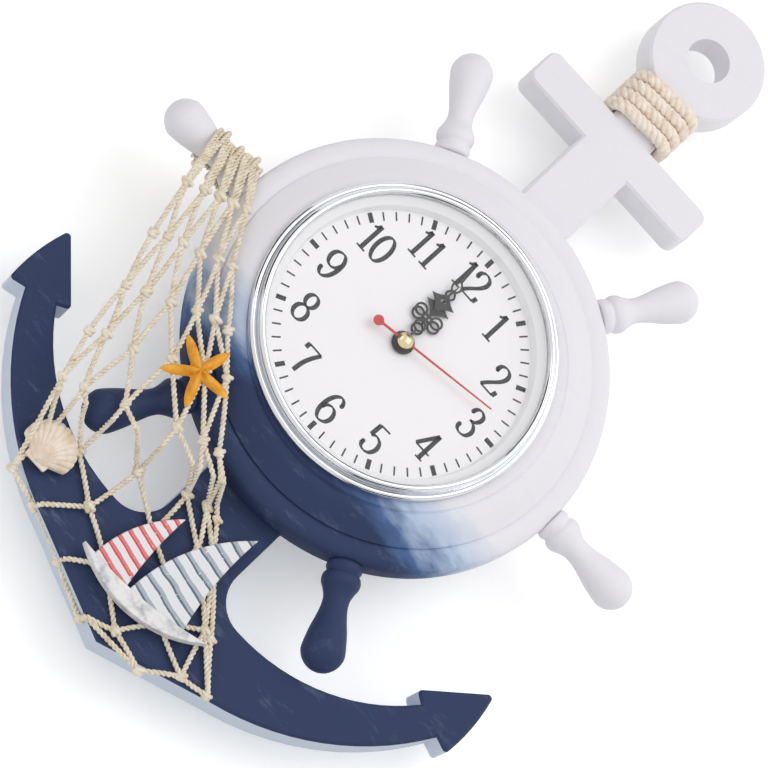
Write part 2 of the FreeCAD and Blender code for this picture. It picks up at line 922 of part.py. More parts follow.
def motion_wheel():
    place = motion_place
    top = cannon_level + wheel_thick
    wheel = toothed(place, motion_teeth, train_module, motion_phase, cannon_level, top)
    leaves = toothed(place, motion_leaves, hour_module, 0, top, hour_level + pinion_thick)
    bore = cylinder(*place, stud_radius + tube_clear, cannon_level - overrun, hour_level + overrun)
    return joined([wheel, leaves]).cut(bore)


def hour_wheel():
    place = hand_arbor
    wheel = toothed(place, hour_teeth, hour_module, hour_phase, hour_level, hour_level + wheel_thick)
    pipe = pin(*place, hour_tube_radius, hour_level, hour_hand_height + hand_thick)
    bore = minute_tube_radius + tube_clear
    whole = joined([wheel, pipe])
    return whole.cut(pin(*place, bore, hour_level - overrun, hour_hand_height + overrun))


def setting_knob():
    """Notched disc behind the cover, with a shaft to the motion wheel."""
    place = knob_place
    top = case_back - cover_thick - knob_rise
    disc = toothed(place, knob_grips, 2 * knob_radius / knob_grips, 0, top - knob_thick, top)
    shaft = cylinder(*place, knob_shaft_radius, top, cannon_level)
    leaves_top = cannon_level + pinion_thick
    leaves = toothed(place, knob_leaves, train_module, knob_phase, cannon_level, leaves_top)
    pivot = cylinder(*place, pivot_radius, leaves_top, case_inside_front + pivot_length)
    return joined([disc, shaft, leaves, pivot])


# Movement: fixed pieces

def rounded_box(half, bottom, top, low, high, corner):
    shape = block(hand_arbor[0] - half, hand_arbor[0] + half, bottom, top, low, high)
    return edge_rounded(shape, corner, along_y)


def bay_middle():
    return -(divider_down + case_wall + cell_wall_clear + cell_radius)


def movement_case():
    """Moulded case: a gear room above, a battery bay below, and a bush for the hands in front."""
    inner = case_half - case_wall
    inner_round = case_corner_round - case_wall
    body = rounded_box(case_half, -case_half, case_half, case_back, dial_back, case_corner_round)
    room = rounded_box(inner, -divider_down, inner, case_back - overrun, case_inside_front, inner_round)
    bay_top = -divider_down - case_wall
    bay = rounded_box(inner, -inner, bay_top, case_back - overrun, case_inside_front, inner_round)
    body = body.cut(room).cut(bay)
    bush = pin(*hand_arbor, bush_outer_radius, case_inside_front, dial_height + bush_front_rise)
    stud = pin(*motion_place, stud_radius, cannon_level - end_shake, case_inside_front)
    parts = [body, bush, stud]
    for x, z in train_posts:
        parts.append(pin(hand_arbor[0] + x, z, post_radius, plate_high, case_inside_front))
    for x, z in circuit_posts:
        parts.append(pin(hand_arbor[0] + x, z, post_radius, circuit_low + circuit_thick, case_inside_front))
    body = joined(parts)
    bore = hour_tube_radius + tube_clear
    body = body.cut(pin(*hand_arbor, bore, case_inside_front - overrun, dial_height + overrun))
    for place in (third_place, knob_place):
        hole = pivot_radius + tube_clear
        body = body.cut(pin(*place, hole, case_inside_front - overrun, dial_back + overrun))
    return body


def movement_cover():
    bottom = -divider_down - case_wall
    low = case_back - cover_thick
    shape = rounded_box(case_half, bottom, case_half, low, case_back, case_corner_round)
    holes = [
        (rotor_place, pivot_radius),
        (intermediate_place, pivot_radius),
        (hand_arbor, seconds_arbor_radius),
        (knob_place, knob_shaft_radius),
    ]
    for place, radius in holes:
        shape = shape.cut(pin(*place, radius + tube_clear, low - overrun, case_back + overrun))
    return shape


def train_plate():
    left, right, bottom, top = train_plate_sides
    centre = hand_arbor[0]
    shape = block(centre + left, centre + right, bottom, top, plate_low, plate_high)
    shape = edge_rounded(shape, case_corner_round, along_y)
    pinion_tip = train_module * (seconds_leaves / 2 + addendum_share)
    holes = [
        (rotor_place, pivot_radius),
        (intermediate_place, pivot_radius),
        (third_place, pivot_radius),
        (hand_arbor, pinion_tip),
        (knob_place, knob_shaft_radius),
    ]
    for place, radius in holes:
        shape = shape.cut(pin(*place, radius + tube_clear, plate_low - overrun, plate_high + overrun))
    return shape


def stator():
    """Soft-iron loop: a round hole for the rotor below and a bar through the coil above."""
    centre = rotor_place[0]
    foot = rotor_place[1] - stator_below
    half = stator_half
    high = stator_low + stator_thick
    bar_top = coil_up + stator_bar / 2
    shape = block(centre - half, centre + half, foot, bar_top, stator_low, high)
    window_low = rotor_place[1] + stator_below
    window = block(
        centre - half + stator_bar,
        centre + half - stator_bar,
        window_low,
        coil_up - stator_bar / 2,
        stator_low - overrun,
        high + overrun,
    )
    hole = pin(*rotor_place, magnet_radius + stator_hole_clear, stator_low - overrun, high + overrun)
    return shape.cut(window).cut(hole)


def coil():
    """Bobbin and winding round the stator's bar."""
    centre = rotor_place[0]
    height = stator_low + stator_thick / 2
    half = stator_half - stator_bar - stack_clear
    right = FreeCAD.Vector(1, 0, 0)
    winding = Part.makeCylinder(coil_radius, 2 * half, at(centre - half, coil_up, height), right)
    parts = [winding]
    for side in (centre - half, centre + half - coil_flange_thick):
        spot = at(side, coil_up, height)
        parts.append(Part.makeCylinder(coil_flange_radius, coil_flange_thick, spot, right))
    bar = block(
        centre - half - overrun,
        centre + half + overrun,
        coil_up - stator_bar / 2 - stack_clear,
        coil_up + stator_bar / 2 + stack_clear,
        stator_low - stack_clear,
        stator_low + stator_thick + stack_clear,
    )
    return joined(parts).cut(bar)


def circuit_board():
    """Board on two posts, with the round blob that covers its chip."""
    left = hand_arbor[0] + circuit_left
    high = circuit_low + circuit_thick
    top = circuit_bottom + circuit_tall
    shape = block(left, left + circuit_wide, circuit_bottom, top, circuit_low, high)
    spot = (left + circuit_wide * chip_share, circuit_bottom + circuit_tall / 2)
    return shape.fuse(pin(*spot, chip_radius, circuit_low - chip_thick, circuit_low))


def quartz_crystal():
    left = hand_arbor[0] + circuit_left + crystal_inset
    z = circuit_bottom + circuit_tall / 2
    height = circuit_low - crystal_radius
    return Part.makeCylinder(crystal_radius, crystal_length, at(left, z, height), FreeCAD.Vector(1, 0, 0))


def cell_start():
    return hand_arbor[0] - case_half + case_wall + contact_thick + contact_bow


def cell_height():
    return case_inside_front - cell_wall_clear - cell_radius


def battery():
    right = FreeCAD.Vector(1, 0, 0)
    start = at(cell_start(), bay_middle(), cell_height())
    can = Part.makeCylinder(cell_radius, cell_length, start, right)
    nub = Part.makeCylinder(cell_nub_radius, cell_nub_length, start + right * cell_length, right)
    return can.fuse(nub)


def contact_blade(face, side):
    half = contact_wide / 2
    low = cell_height() - half
    left = min(face, face + side * contact_thick)
    bottom = bay_middle() - half
    return block(left, left + contact_thick, bottom, bottom + contact_wide, low, low + contact_wide)


def contact_positive():
    """Flat blade with a round dimple that meets the cell's nub."""
    wall = hand_arbor[0] + case_half - case_wall
    nub_end = cell_start() + cell_length + cell_nub_length
    dimple_length = wall - contact_thick - nub_end
    right = FreeCAD.Vector(1, 0, 0)
    spot = at(nub_end, bay_middle(), cell_height())
    dimple = Part.makeCylinder(cell_nub_radius / 2, dimple_length, spot, right)
    return joined([contact_blade(wall, -1), dimple])


def contact_negative():
    """Blade with a bowed leaf that presses on the cell's flat end."""
    wall = hand_arbor[0] - case_half + case_wall
    root = wall + contact_thick
    half = contact_wide / 2
    middle = cell_height()
    inner_half = half - 2 * contact_thick

    def place(x, height):
        return at(x, bay_middle() - half, height)

    steps = [
        [(root + contact_bow, middle), (root, middle + half)],
        [(root, middle + inner_half)],
        [(root + contact_bow - contact_thick, middle), (root, middle - inner_half)],
    ]
    leaf = Part.Face(outline((root, middle - half), steps, place)).extrude(UP * contact_wide)
    return joined([contact_blade(wall, 1), leaf])


# Hands

def hand_piece(turn, shape):
    """Turn a hand drawn straight up about the arbor, clockwise as seen from the front."""
    shape.rotate(FreeCAD.Vector(0, 0, 0), FreeCAD.Vector(0, 1, 0), turn)
    shape.translate(FreeCAD.Vector(-insert_shift, 0, 0))
    return shape


def pierced_hand(length, shares, hub_radius, bore, low):
    """Black pierced hand: hub, link, two scrolls, a horned lozenge and a leaf with a window."""
    high = low + hand_thick
    line = hand_line
    link, scroll, horn_low, horn, horn_high, leaf, leaf_end = (share * length for share in shares)

    def bar(bottom, top):
        return block(-line / 2, line / 2, bottom, top, low, high)

    def hole(x, z, radius):
        return pin(x, z, radius, low - overrun, high + overrun)

    def four_arcs(side, bottom, middle, top, share):
        """Leaf or lozenge: its flanks pass a share of the full width half-way along."""
        flank = side * share
        steps = [
            [(flank, (bottom + middle) / 2), (side, middle)],
            [(flank, (middle + top) / 2), (0, top)],
            [(-flank, (middle + top) / 2), (-side, middle)],
            [(-flank, (bottom + middle) / 2), (0, bottom)],
        ]
        return plate((0, bottom), steps, low, high)

    rings = [
        (0, link, hand_link_radius),
        (hand_scroll_side, scroll, hand_scroll_radius),
        (-hand_scroll_side, scroll, hand_scroll_radius),
    ]
    leaf_middle = (leaf + leaf_end) / 2
    tip = plate((-line / 2, leaf_end - line), [[(line / 2, leaf_end - line)], [(0, length)]], low, high)
    parts = [pin(0, 0, hub_radius, low, high)]
    parts += [pin(x, z, radius, low, high) for x, z, radius in rings]
    parts += [
        bar(0, leaf + line),
        block(-hand_scroll_side, hand_scroll_side, scroll - line / 2, scroll + line / 2, low, high),
        four_arcs(hand_horn_side, horn_low, horn, horn_high, hand_waist_share),
        four_arcs(hand_leaf_side, leaf, leaf_middle, leaf_end, hand_leaf_share),
        tip,
    ]
    whole = joined(parts)
    for x, z, radius in rings:
        whole = whole.cut(hole(x, z, radius - line))
    window = four_arcs(hand_leaf_side - line, leaf + line, leaf_middle, leaf_end - line, hand_leaf_share)
    whole = whole.cut(window)
    whole = whole.cut(hole(0, horn, hand_horn_side * hand_eye_share))
    return whole.cut(hole(0, 0, bore))


def hour_hand():
    shape = pierced_hand(
        hour_hand_length, hour_hand_shares, hour_hub_radius, hour_tube_radius, hour_hand_height
    )
    return hand_piece(-hour_hand_turn, shape)


def minute_hand():
    shape = pierced_hand(
        minute_hand_length, minute_hand_shares, minute_hub_radius, minute_tube_radius, minute_hand_height
    )
    return hand_piece(-minute_hand_turn, shape)


def second_hand():
    low = seconds_hand_height
    high = low + hand_thick
    half = seconds_hand_width / 2
    steps = [
        [(half, -seconds_tail_length)],
        [(half / 2, seconds_hand_length)],
        [(-half / 2, seconds_hand_length)],
        [(-half, -seconds_tail_length)],
    ]
    blade = plate((0, -seconds_tail_length), steps, low, high)
    hub = pin(0, 0, seconds_hub_radius, low - seconds_hub_drop, high)
    disc = pin(0, -seconds_tail_length, seconds_disc_radius, low, high)
    whole = joined([blade, hub, disc])
    bore = pin(0, 0, seconds_arbor_radius, low - overrun, high + overrun)
    return hand_piece(-seconds_hand_turn, whole.cut(bore))


def hand_cap():
    """Small brass dome over the middle of the hands: a disc with a shallow ball's cap on it."""
    low = seconds_hand_height + hand_thick
    rise = cap_height - cap_edge
    ball = (cap_radius * cap_radius + rise * rise) / (2 * rise)
    half_turn = math.asin(cap_radius / ball) / 2
    ball_centre = low + cap_height - ball
    middle = (ball * math.sin(half_turn), ball_centre + ball * math.cos(half_turn))
    steps = [
        [(cap_radius, low)],
        [(cap_radius, low + cap_edge)],
        [middle, (0, low + cap_height)],
    ]
    return turned((0, low), steps, -insert_shift)


# Net

def bent(first, pull, last, share):
    """Point on a quadratic curve."""
    rest = 1 - share
    weights = (rest * rest, 2 * rest * share, share * share)
    return tuple(sum(w * p[axis] for w, p in zip(weights, (first, pull, last))) for axis in (0, 1))


def net_point(across, down):
    """Place of a knot: across runs 0 to 1 from the left edge, down runs 0 to 1 from the handle."""
    left = bent(
        (-net_top_left, net_top_up), (-net_left_bow_side, -net_left_bow_down),
        (-net_left_end_side, -net_left_end_down), down,
    )
    right = bent(
        (-net_top_right, net_top_up), (-net_right_bow_side, -net_right_bow_down),
        (net_right_end_side, -net_right_end_down), down,
    )
    sag = net_crown_sag * 4 * across * (1 - across) * down * down
    return (
        left[0] + (right[0] - left[0]) * across,
        left[1] + (right[1] - left[1]) * across - sag,
    )


def knot(column, row):
    return net_point(column / net_meshes_across, net_row_shares[row])


def shrunk(corners, inset):
    """Corners of a counter-clockwise polygon whose sides move in by the inset, or None if none is left."""
    count = len(corners)
    lines = []
    for index, (x, z) in enumerate(corners):
        far_x, far_z = corners[(index + 1) % count]
        length = math.hypot(far_x - x, far_z - z)
        along = ((far_x - x) / length, (far_z - z) / length)
        lines.append(((x - along[1] * inset, z + along[0] * inset), along))
    moved = []
    for index in range(count):
        (x1, z1), (ax, az) = lines[index - 1]
        (x2, z2), (bx, bz) = lines[index]
        cross = ax * bz - az * bx
        if abs(cross) < straight_share:
            moved.append((x2, z2))
        else:
            reach = ((x2 - x1) * bz - (z2 - z1) * bx) / cross
            moved.append((x1 + ax * reach, z1 + az * reach))
    for index, (point, along) in enumerate(zip(moved, (line[1] for line in lines))):
        ahead = moved[(index + 1) % count]
        if (ahead[0] - point[0]) * along[0] + (ahead[1] - point[1]) * along[1] <= inset / 2:
            return None
    return moved


def net_outline():
    """Knots on the net's edge, counter-clockwise from its top left."""
    rows = len(net_row_shares) - 1
    across = net_meshes_across
    down_left = [knot(0, row) for row in range(0, rows, 2)]
    bottom = [knot(column, rows) for column in range(0, across)]
    up_right = [knot(across, row) for row in range(rows, 0, -2)]
    top = [knot(column, 0) for column in range(across, 0, -1)]
    return down_left + bottom + up_right + top


def net_meshes():
    """Every gap of the net: lozenges inside, and half lozenges along its edge."""
    rows = len(net_row_shares) - 1
    across = net_meshes_across
    meshes = []
    for row in range(0, rows + 1):
        start = 0.5 if row % 2 == 0 else 0
        columns = across if row % 2 == 0 else across + 1
        for index in range(columns):
            column = start + index
            sides = []
            if column > 0:
                sides.append(knot(column - 0.5, row))
            if row < rows:
                sides.append(knot(column, row + 1))
            if column < across:
                sides.append(knot(column + 0.5, row))
            if row > 0:
                sides.append(knot(column, row - 1))
            meshes.append(sides)
    return meshes


def net_sheet():
    """Slab that lies over the wheel, hooks over the handle at 9 and drops to the lower arm."""
    bulb = stepped((0, 0), 90 - hour_turn * net_fall_hour, handle_bulb_place)
    turn = math.radians(net_fall_turn)
    ahead = (math.sin(turn), -math.cos(turn))
    aside = (math.cos(turn), math.sin(turn))
    far = 2 * eye_up
    start = (bulb[0] + ahead[0] * net_fall_gap, bulb[1] + ahead[1] * net_fall_gap)

    def place(run, height):
        x = start[0] + ahead[0] * run - aside[0] * far
        z = start[1] + ahead[1] * run - aside[1] * far
        return at(x, z, height)

    drop = net_height - net_low
    corner = net_thick * math.tan(math.atan2(drop, net_fall_run) / 2)
    steps = [
        [(0, net_height)],
        [(net_fall_run, net_low)],
        [(far, net_low)],
        [(far, net_front)],
        [(net_fall_run + corner, net_front)],
        [(corner, net_top)],
        [(-far, net_top)],
    ]
    face = Part.Face(outline((-far, net_height), steps, place))
    slab = face.extrude(FreeCAD.Vector(aside[0], 0, aside[1]) * (2 * far))
    slab = slab.common(block(-far, far, -far, net_fold_up, -far, far))
    inner = net_top_up - net_thick
    bend_share = math.sqrt(0.5)

    def hook_place(z, height):
        return at(-far, z, height)

    def hook_middle(z, height):
        across = net_fold_up + (z - net_fold_up) * bend_share
        return across, net_back_height + (height - net_back_height) * bend_share

    hook = [
        [hook_middle(inner, net_height), (inner, net_back_height)],
        [(net_top_up, net_back_height)],
        [hook_middle(net_top_up, net_top), (net_fold_up, net_top)],
    ]
    bend = Part.Face(outline((net_fold_up, net_height), hook, hook_place))
    return slab.fuse(bend.extrude(FreeCAD.Vector(2 * far, 0, 0)))


def fishing_net():
    half = twine_width / 2
    low = -2 * net_height
    high = 2 * net_height

    def wire(corners):
        points = [at(x, z, low) for x, z in corners]
        return Part.makePolygon(points + points[:1])

    wires = [wire(shrunk(net_outline(), -half))]
    for mesh in net_meshes():
        corners = shrunk(mesh, half)
        if corners:
            wires.append(wire(corners))
    print("net: gaps", len(wires) - 1)
    face = Part.makeFace(wires, "Part::FaceMakerBullseye")
    pattern = face.extrude(FreeCAD.Vector(0, low - high, 0))
    return pattern.common(net_sheet())


# Ornaments on the net

def faceted_dome(rings, foot):
    """Solid under rings of points that climb from a rim to a top: flat facets, and a flat foot."""
    faces = []

    def facet(*corners):
        faces.append(Part.Face(Part.makePolygon(list(corners) + [corners[0]])))

    def dropped(point):
        return FreeCAD.Vector(point.x, -foot, point.z)

    rim = rings[0]
    count = len(rim)
    for lower, upper in zip(rings, rings[1:]):
        for index in range(count):
            ahead = (index + 1) % count
            facet(lower[index], lower[ahead], upper[ahead])
            facet(lower[index], upper[ahead], upper[index])
    top = rings[-1]
    middle = sum(top, FreeCAD.Vector()) * (1 / count)
    for index in range(count):
        ahead = (index + 1) % count
        facet(top[index], top[ahead], middle)
        facet(rim[ahead], rim[index], dropped(rim[index]), dropped(rim[ahead]))
    base = [dropped(point) for point in rim]
    faces.append(Part.Face(Part.makePolygon(base + base[:1])))
    solid = Part.makeSolid(Part.makeShell(faces))
    if solid.Volume < 0:
        solid.reverse()
    return solid


def starfish():
    """Five tapering arms, domed on top and flat where they lie on the net."""
    x, z = -starfish_left, -starfish_down
    foot = net_top + glue_gap
    steps = starfish_arms * starfish_arm_steps
    rings = []
    for share, lift in starfish_dome_shares:
        ring = []
        for index in range(steps):
            along_arm = abs(math.cos(math.pi * index / starfish_arm_steps))
            swell = along_arm ** starfish_arm_power
            reach = starfish_core_radius + (starfish_radius - starfish_core_radius) * swell
            turn = math.radians(starfish_turn + 360 * index / steps)
            rise = starfish_rise * lift * (1 - starfish_thin_share * along_arm * share)
            out = share * reach
            ring.append(at(x + out * math.cos(turn), z + out * math.sin(turn), foot + rise))
        rings.append(ring)
    return faceted_dome(rings, foot)


def scallop_shell():
    """Fan with a domed, ribbed back and two ears at its hinge."""
    x, z = -shell_left, -shell_down
    half_turn = math.radians(shell_half_turn)
    steps = 2 * shell_ribs
    rings = []
    for share, lift in shell_dome_shares:
        ring = []
        for index in range(steps + 1):
            side = index / steps * 2 - 1
            rib = shell_rib_deep * share * (index % 2)
            dome = shell_rise * lift * (1 - shell_side_share * side * side)
            reach = share * (shell_radius - shell_rib_deep + rib) * (1 - shell_round_share * side * side)
            turn = side * half_turn
            height = ornament_low + shell_edge + dome + rib
            ring.append(at(x + reach * math.sin(turn), z + reach * math.cos(turn), height))
        rings.append(ring)
    body = ribbed_fan(rings, ornament_low)
    ears = plate(
        (x - shell_ear_half, z),
        [
            [(x + shell_ear_half, z)],
            [(x + shell_ear_half, z + shell_ear_up)],
            [(x - shell_ear_half, z + shell_ear_up)],
        ],
        ornament_low,
        ornament_low + shell_ear_thick,
    )
    return body.fuse(ears)


def ribbed_fan(rings, foot):
    """Solid under an open fan of points: flat facets above, upright sides and a flat foot."""
    faces = []

    def facet(*corners):
        faces.append(Part.Face(Part.makePolygon(list(corners) + [corners[0]])))

    def dropped(point):
        return FreeCAD.Vector(point.x, -foot, point.z)

    for lower, upper in zip(rings, rings[1:]):
        for index in range(len(lower) - 1):
            facet(lower[index], lower[index + 1], upper[index + 1])
            facet(lower[index], upper[index + 1], upper[index])
    edge = list(rings[0]) + [ring[-1] for ring in rings[1:]]
    edge += list(reversed(rings[-1]))[1:] + [ring[0] for ring in reversed(rings[1:-1])]
    for index, point in enumerate(edge):
        ahead = edge[(index + 1) % len(edge)]
        facet(point, dropped(point), dropped(ahead), ahead)
    base = [dropped(point) for point in edge]
    faces.append(Part.Face(Part.makePolygon(base + base[:1])))
    solid = Part.makeSolid(Part.makeShell(faces))
    if solid.Volume < 0:
        solid.reverse()
    return solid


def boat_hull():
    bow = (-hull_bow_left, -hull_bow_down)
    stern = (hull_stern_right, -hull_stern_down)
    steps = [
        [(-hull_keel_left, -hull_keel_down), stern],
        [(hull_deck_right, -hull_deck_down), bow],
    ]
    return plate(bow, steps, ornament_low, ornament_low + hull_thick)


def sail(tip, luff, foot_left, foot_right, leech):
    steps = [[luff, foot_left], [foot_right], [leech, tip]]
    return plate(tip, steps, ornament_low, ornament_low + sail_thick).cut(boat_hull())


def fore_sail():
    return sail(
        (-fore_tip_left, -fore_tip_down),
        (-fore_luff_left, -fore_luff_down),
        (-fore_foot_left, -fore_foot_down),
        (-fore_foot_right, -fore_foot_down),
        (-fore_leech_left, -fore_leech_down),
    )


def main_sail():
    return sail(
        (main_tip_right, -main_tip_down),
        (main_luff_right, -main_luff_down),
        (-main_foot_left, -main_foot_left_down),
        (main_foot_right, -main_foot_right_down),
        (main_leech_right, -main_leech_down),
    )


os.makedirs("parts", exist_ok=True)
for hour in hours_with_handles:
    save("handle_at_" + str(hour), handle(hour))
makers = [
    anchor_board, neck_rope, wheel_rim, fishing_net, starfish, scallop_shell, boat_hull,
    fore_sail, main_sail, insert_cup, bezel, lens, reflector_ring, dial,
    hour_hand, minute_hand, second_hand, hand_cap,
    movement_case, movement_cover, train_plate, battery, contact_positive, contact_negative,
    circuit_board, quartz_crystal, coil, stator, rotor_magnet, rotor_pinion, intermediate_wheel,
    seconds_wheel, third_wheel, centre_wheel, cannon_pinion, motion_wheel, hour_wheel, setting_knob,
]
for maker in makers:
    save(maker.__name__, maker())
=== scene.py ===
# %% [markdown]
# # Nautical wall clock
# A painted anchor board carries a ship's wheel, a chrome-rimmed clock insert, a twine net, a
# starfish, a scallop shell and a boat. All stand in the frame of the built parts: X is to the
# right, Z is up, and the dial looks towards -Y. "Height" is a distance out from the board's back.

import math
import random

import bmesh
import bpy
import numpy as np
from mathutils import Matrix, Vector


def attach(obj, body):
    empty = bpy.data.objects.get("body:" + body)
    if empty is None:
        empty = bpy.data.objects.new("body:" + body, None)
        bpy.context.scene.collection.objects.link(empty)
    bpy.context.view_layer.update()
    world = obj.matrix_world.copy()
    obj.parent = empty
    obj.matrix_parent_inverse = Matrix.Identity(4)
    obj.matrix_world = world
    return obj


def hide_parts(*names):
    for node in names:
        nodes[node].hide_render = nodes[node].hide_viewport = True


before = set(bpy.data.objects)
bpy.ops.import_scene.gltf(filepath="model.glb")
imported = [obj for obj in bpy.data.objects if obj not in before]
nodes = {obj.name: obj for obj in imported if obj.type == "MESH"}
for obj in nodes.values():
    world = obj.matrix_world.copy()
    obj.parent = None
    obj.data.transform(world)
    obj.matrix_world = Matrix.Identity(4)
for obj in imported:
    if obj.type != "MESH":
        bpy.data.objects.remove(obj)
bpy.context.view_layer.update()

# %% [markdown]
# ## Sizes
# Sizes are millimetres. The main heights and the wheel's radius are read off the built parts, so
# that a change there is followed here. Others, such as the twine's, are written once by name, and
# a size that only one piece uses stands beside that piece.

# %% Read the sizes
MM = 0.001


def box_mm(name):
    """Lowest and highest x, z and height of a built part, to a hundredth of a millimetre."""
    places = np.array([(v.co.x, v.co.z, -v.co.y) for v in nodes[name].data.vertices]) / MM
    return [[round(float(value), 2) for value in end] for end in (places.min(0), places.max(0))]


def middle_of(name, way):
    """Middle of a built part's box along one way."""
    low, high = box_mm(name)
    return (low[way] + high[way]) / 2


X, Z, HEIGHT = 0, 1, 2
LOW, HIGH = 0, 1
BOARD_THICK = box_mm("anchor_board")[HIGH][HEIGHT]
WHEEL_RADIUS = box_mm("wheel_rim")[HIGH][X]
RIM_FRONT = box_mm("wheel_rim")[HIGH][HEIGHT]
HANDLE_HEIGHT = middle_of("handle_at_3", HEIGHT)
INSERT_X = middle_of("movement_case", X)
DIAL_HEIGHT = box_mm("dial")[HIGH][HEIGHT]
STARFISH_HEIGHT = box_mm("starfish")[LOW][HEIGHT]
ORNAMENT_HEIGHT = box_mm("scallop_shell")[LOW][HEIGHT]
print("board", BOARD_THICK, "wheel", WHEEL_RADIUS, "dial at", DIAL_HEIGHT, "mm")

# %% Name the other sizes
HANDLE_TIP = 114.9
BULB_RADIUS = 7.55
ROPE_RADIUS = 2.35
ROPE_PITCH = 5.15
TWINE_RADIUS = 0.95
TWINE_PITCH = 3.6
# Middle of the twine over the wheel and over the board
NET_TOP_HEIGHT = RIM_FRONT + 0.5
NET_LOW_HEIGHT = BOARD_THICK + 1.4
HOURS_WITH_HANDLES = [1, 3, 5, 7, 9, 11]
random.seed(7)
print("net between", NET_LOW_HEIGHT, "and", NET_TOP_HEIGHT, "mm")

# %% [markdown]
# ## Small helpers
# A piece could be modelled at the middle and then moved, but an exported piece is put back at the
# origin. Here instead a point is given by its real x, z and height, and every object stays at the
# origin.

# %% Points and meshes
def at(x, z, height):
    """Point in metres from millimetres."""
    return Vector((x * MM, -height * MM, z * MM))


def make_mesh(name, points, faces, material, smooth=True):
    """Object at the origin whose mesh has the points in place."""
    mesh = bpy.data.meshes.new(name)
    mesh.from_pydata([tuple(p) for p in points], [], [tuple(f) for f in faces])
    mesh.materials.append(material)
    mesh.polygons.foreach_set("use_smooth", [smooth] * len(mesh.polygons))
    mesh.update()
    item = bpy.data.objects.new(name, mesh)
    bpy.context.scene.collection.objects.link(item)
    return item


def outward(item):
    """Make all faces of a closed mesh look outwards."""
    work = bmesh.new()
    work.from_mesh(item.data)
    bmesh.ops.recalc_face_normals(work, faces=work.faces)
    work.to_mesh(item.data)
    work.free()
    return item


def smooth_by_angle(item, degrees):
    """Shade smooth, with a hard edge where two faces meet at more than an angle."""
    mesh = item.data
    mesh.polygons.foreach_set("use_smooth", [True] * len(mesh.polygons))
    mesh.set_sharp_from_angle(angle=math.radians(degrees))
    return item


print("mesh helpers ready")

# %% [markdown]
# ## Pieces from the built parts
# A built part is a cloud of loose triangles. Its own mesh is left alone, since it says where the
# part is. A copy has its points merged, so that it can be smoothed and its edges softened.

# %% Copy a built part
MERGE_WITHIN = 0.002
FLAT_WITHIN = math.radians(0.5)
BEVEL_FROM = math.radians(35)


def merged_copy(node, name, material, degrees=30, bevel=0.0):
    """Copy of a built part with its loose triangles merged, smoothed and bevelled."""
    mesh = nodes[node].data.copy()
    mesh.name = name
    work = bmesh.new()
    work.from_mesh(mesh)
    bmesh.ops.remove_doubles(work, verts=work.verts, dist=MERGE_WITHIN * MM)
    bmesh.ops.dissolve_limit(work, angle_limit=FLAT_WITHIN, verts=work.verts, edges=work.edges)
    work.to_mesh(mesh)
    work.free()
    mesh.materials.clear()
    mesh.materials.append(material)
    item = bpy.data.objects.new(name, mesh)
    bpy.context.scene.collection.objects.link(item)
    smooth_by_angle(item, degrees)
    if bevel:
        modifier = item.modifiers.new("edge", "BEVEL")
        modifier.width = bevel * MM
        modifier.segments = 2
        modifier.limit_method = "ANGLE"
        modifier.angle_limit = BEVEL_FROM
        modifier.harden_normals = True
    return item


def stands_for(item, body, *names):
    """Let a piece move with a body and be seen in place of built parts."""
    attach(item, body)
    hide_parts(*names)
    return item


print("parts that can be copied", len(nodes))

# %% [markdown]
# ## Lines
# A curve object would do, but its samples are hard to reach. Here a smooth curve through a few
# points becomes an array, which the other helpers can bend, wind and measure.

# %% Curves through points
def curve_through(points, per=8):
    """Smooth curve through the points, as an array of samples."""
    p = np.array([tuple(q) for q in points], float)
    last = len(p) - 1
    out = []
    for i in range(last):
        a, b, c, d = p[max(i - 1, 0)], p[i], p[i + 1], p[min(i + 2, last)]
        bend = 2 * a - 5 * b + 4 * c - d
        twist = 3 * b - a - 3 * c + d
        for t in np.arange(per) / per:
            out.append(0.5 * (2 * b + (c - a) * t + bend * t ** 2 + twist * t ** 3))
    out.append(p[-1])
    return np.array(out)


def resampled(path, step):
    """The same line with samples at even steps."""
    gaps = np.linalg.norm(np.diff(path, axis=0), axis=1)
    along = np.concatenate([[0], np.cumsum(gaps)])
    count = max(int(along[-1] / step), 2)
    wanted = np.linspace(0, along[-1], count + 1)
    return np.stack([np.interp(wanted, along, path[:, k]) for k in range(path.shape[1])], 1)


def frames_along(path):
    """Two directions across the line at every sample, carried along without twist."""
    tangent = np.gradient(path, axis=0)
    tangent /= np.linalg.norm(tangent, axis=1)[:, None]
    start = np.cross(tangent[0], [0.3, 0.5, 0.81])
    start /= np.linalg.norm(start)
    first = [start]
    for i in range(1, len(path)):
        v = first[-1] - tangent[i] * np.dot(first[-1], tangent[i])
        first.append(v / np.linalg.norm(v))
    first = np.array(first)
    return first, np.cross(tangent, first)


print("line helpers ready")

# %% [markdown]
# ## Tubes and twisted cord
# Rope is thin strands that wind about one another. A bump on a smooth tube would look flat at the
# edge, so each strand is a tube of its own that winds about the middle line.

# %% Tubes and cords
def tube(path, radius, sides):
    """Points and faces of a tube with closed ends."""
    first, second = frames_along(path)
    turn = (np.arange(sides) * 2 * math.pi / sides)[None, :, None]
    ring = np.cos(turn) * first[:, None] + np.sin(turn) * second[:, None]
    points = (path[:, None] + ring * radius).reshape(-1, 3)
    faces = []
    for i in range(len(path) - 1):
        for j in range(sides):
            k = (j + 1) % sides
            faces.append((i * sides + j, i * sides + k, (i + 1) * sides + k, (i + 1) * sides + j))
    faces.append(tuple(range(sides))[::-1])
    faces.append(tuple((len(path) - 1) * sides + j for j in range(sides)))
    return points, faces


def gathered(pieces):
    """Several point and face lists as one."""
    points, faces, start = [], [], 0
    for some, these in pieces:
        points.append(np.asarray(some))
        faces += [tuple(v + start for v in face) for face in these]
        start += len(some)
    return np.concatenate(points), faces


STRAND_SWELL = 1.12


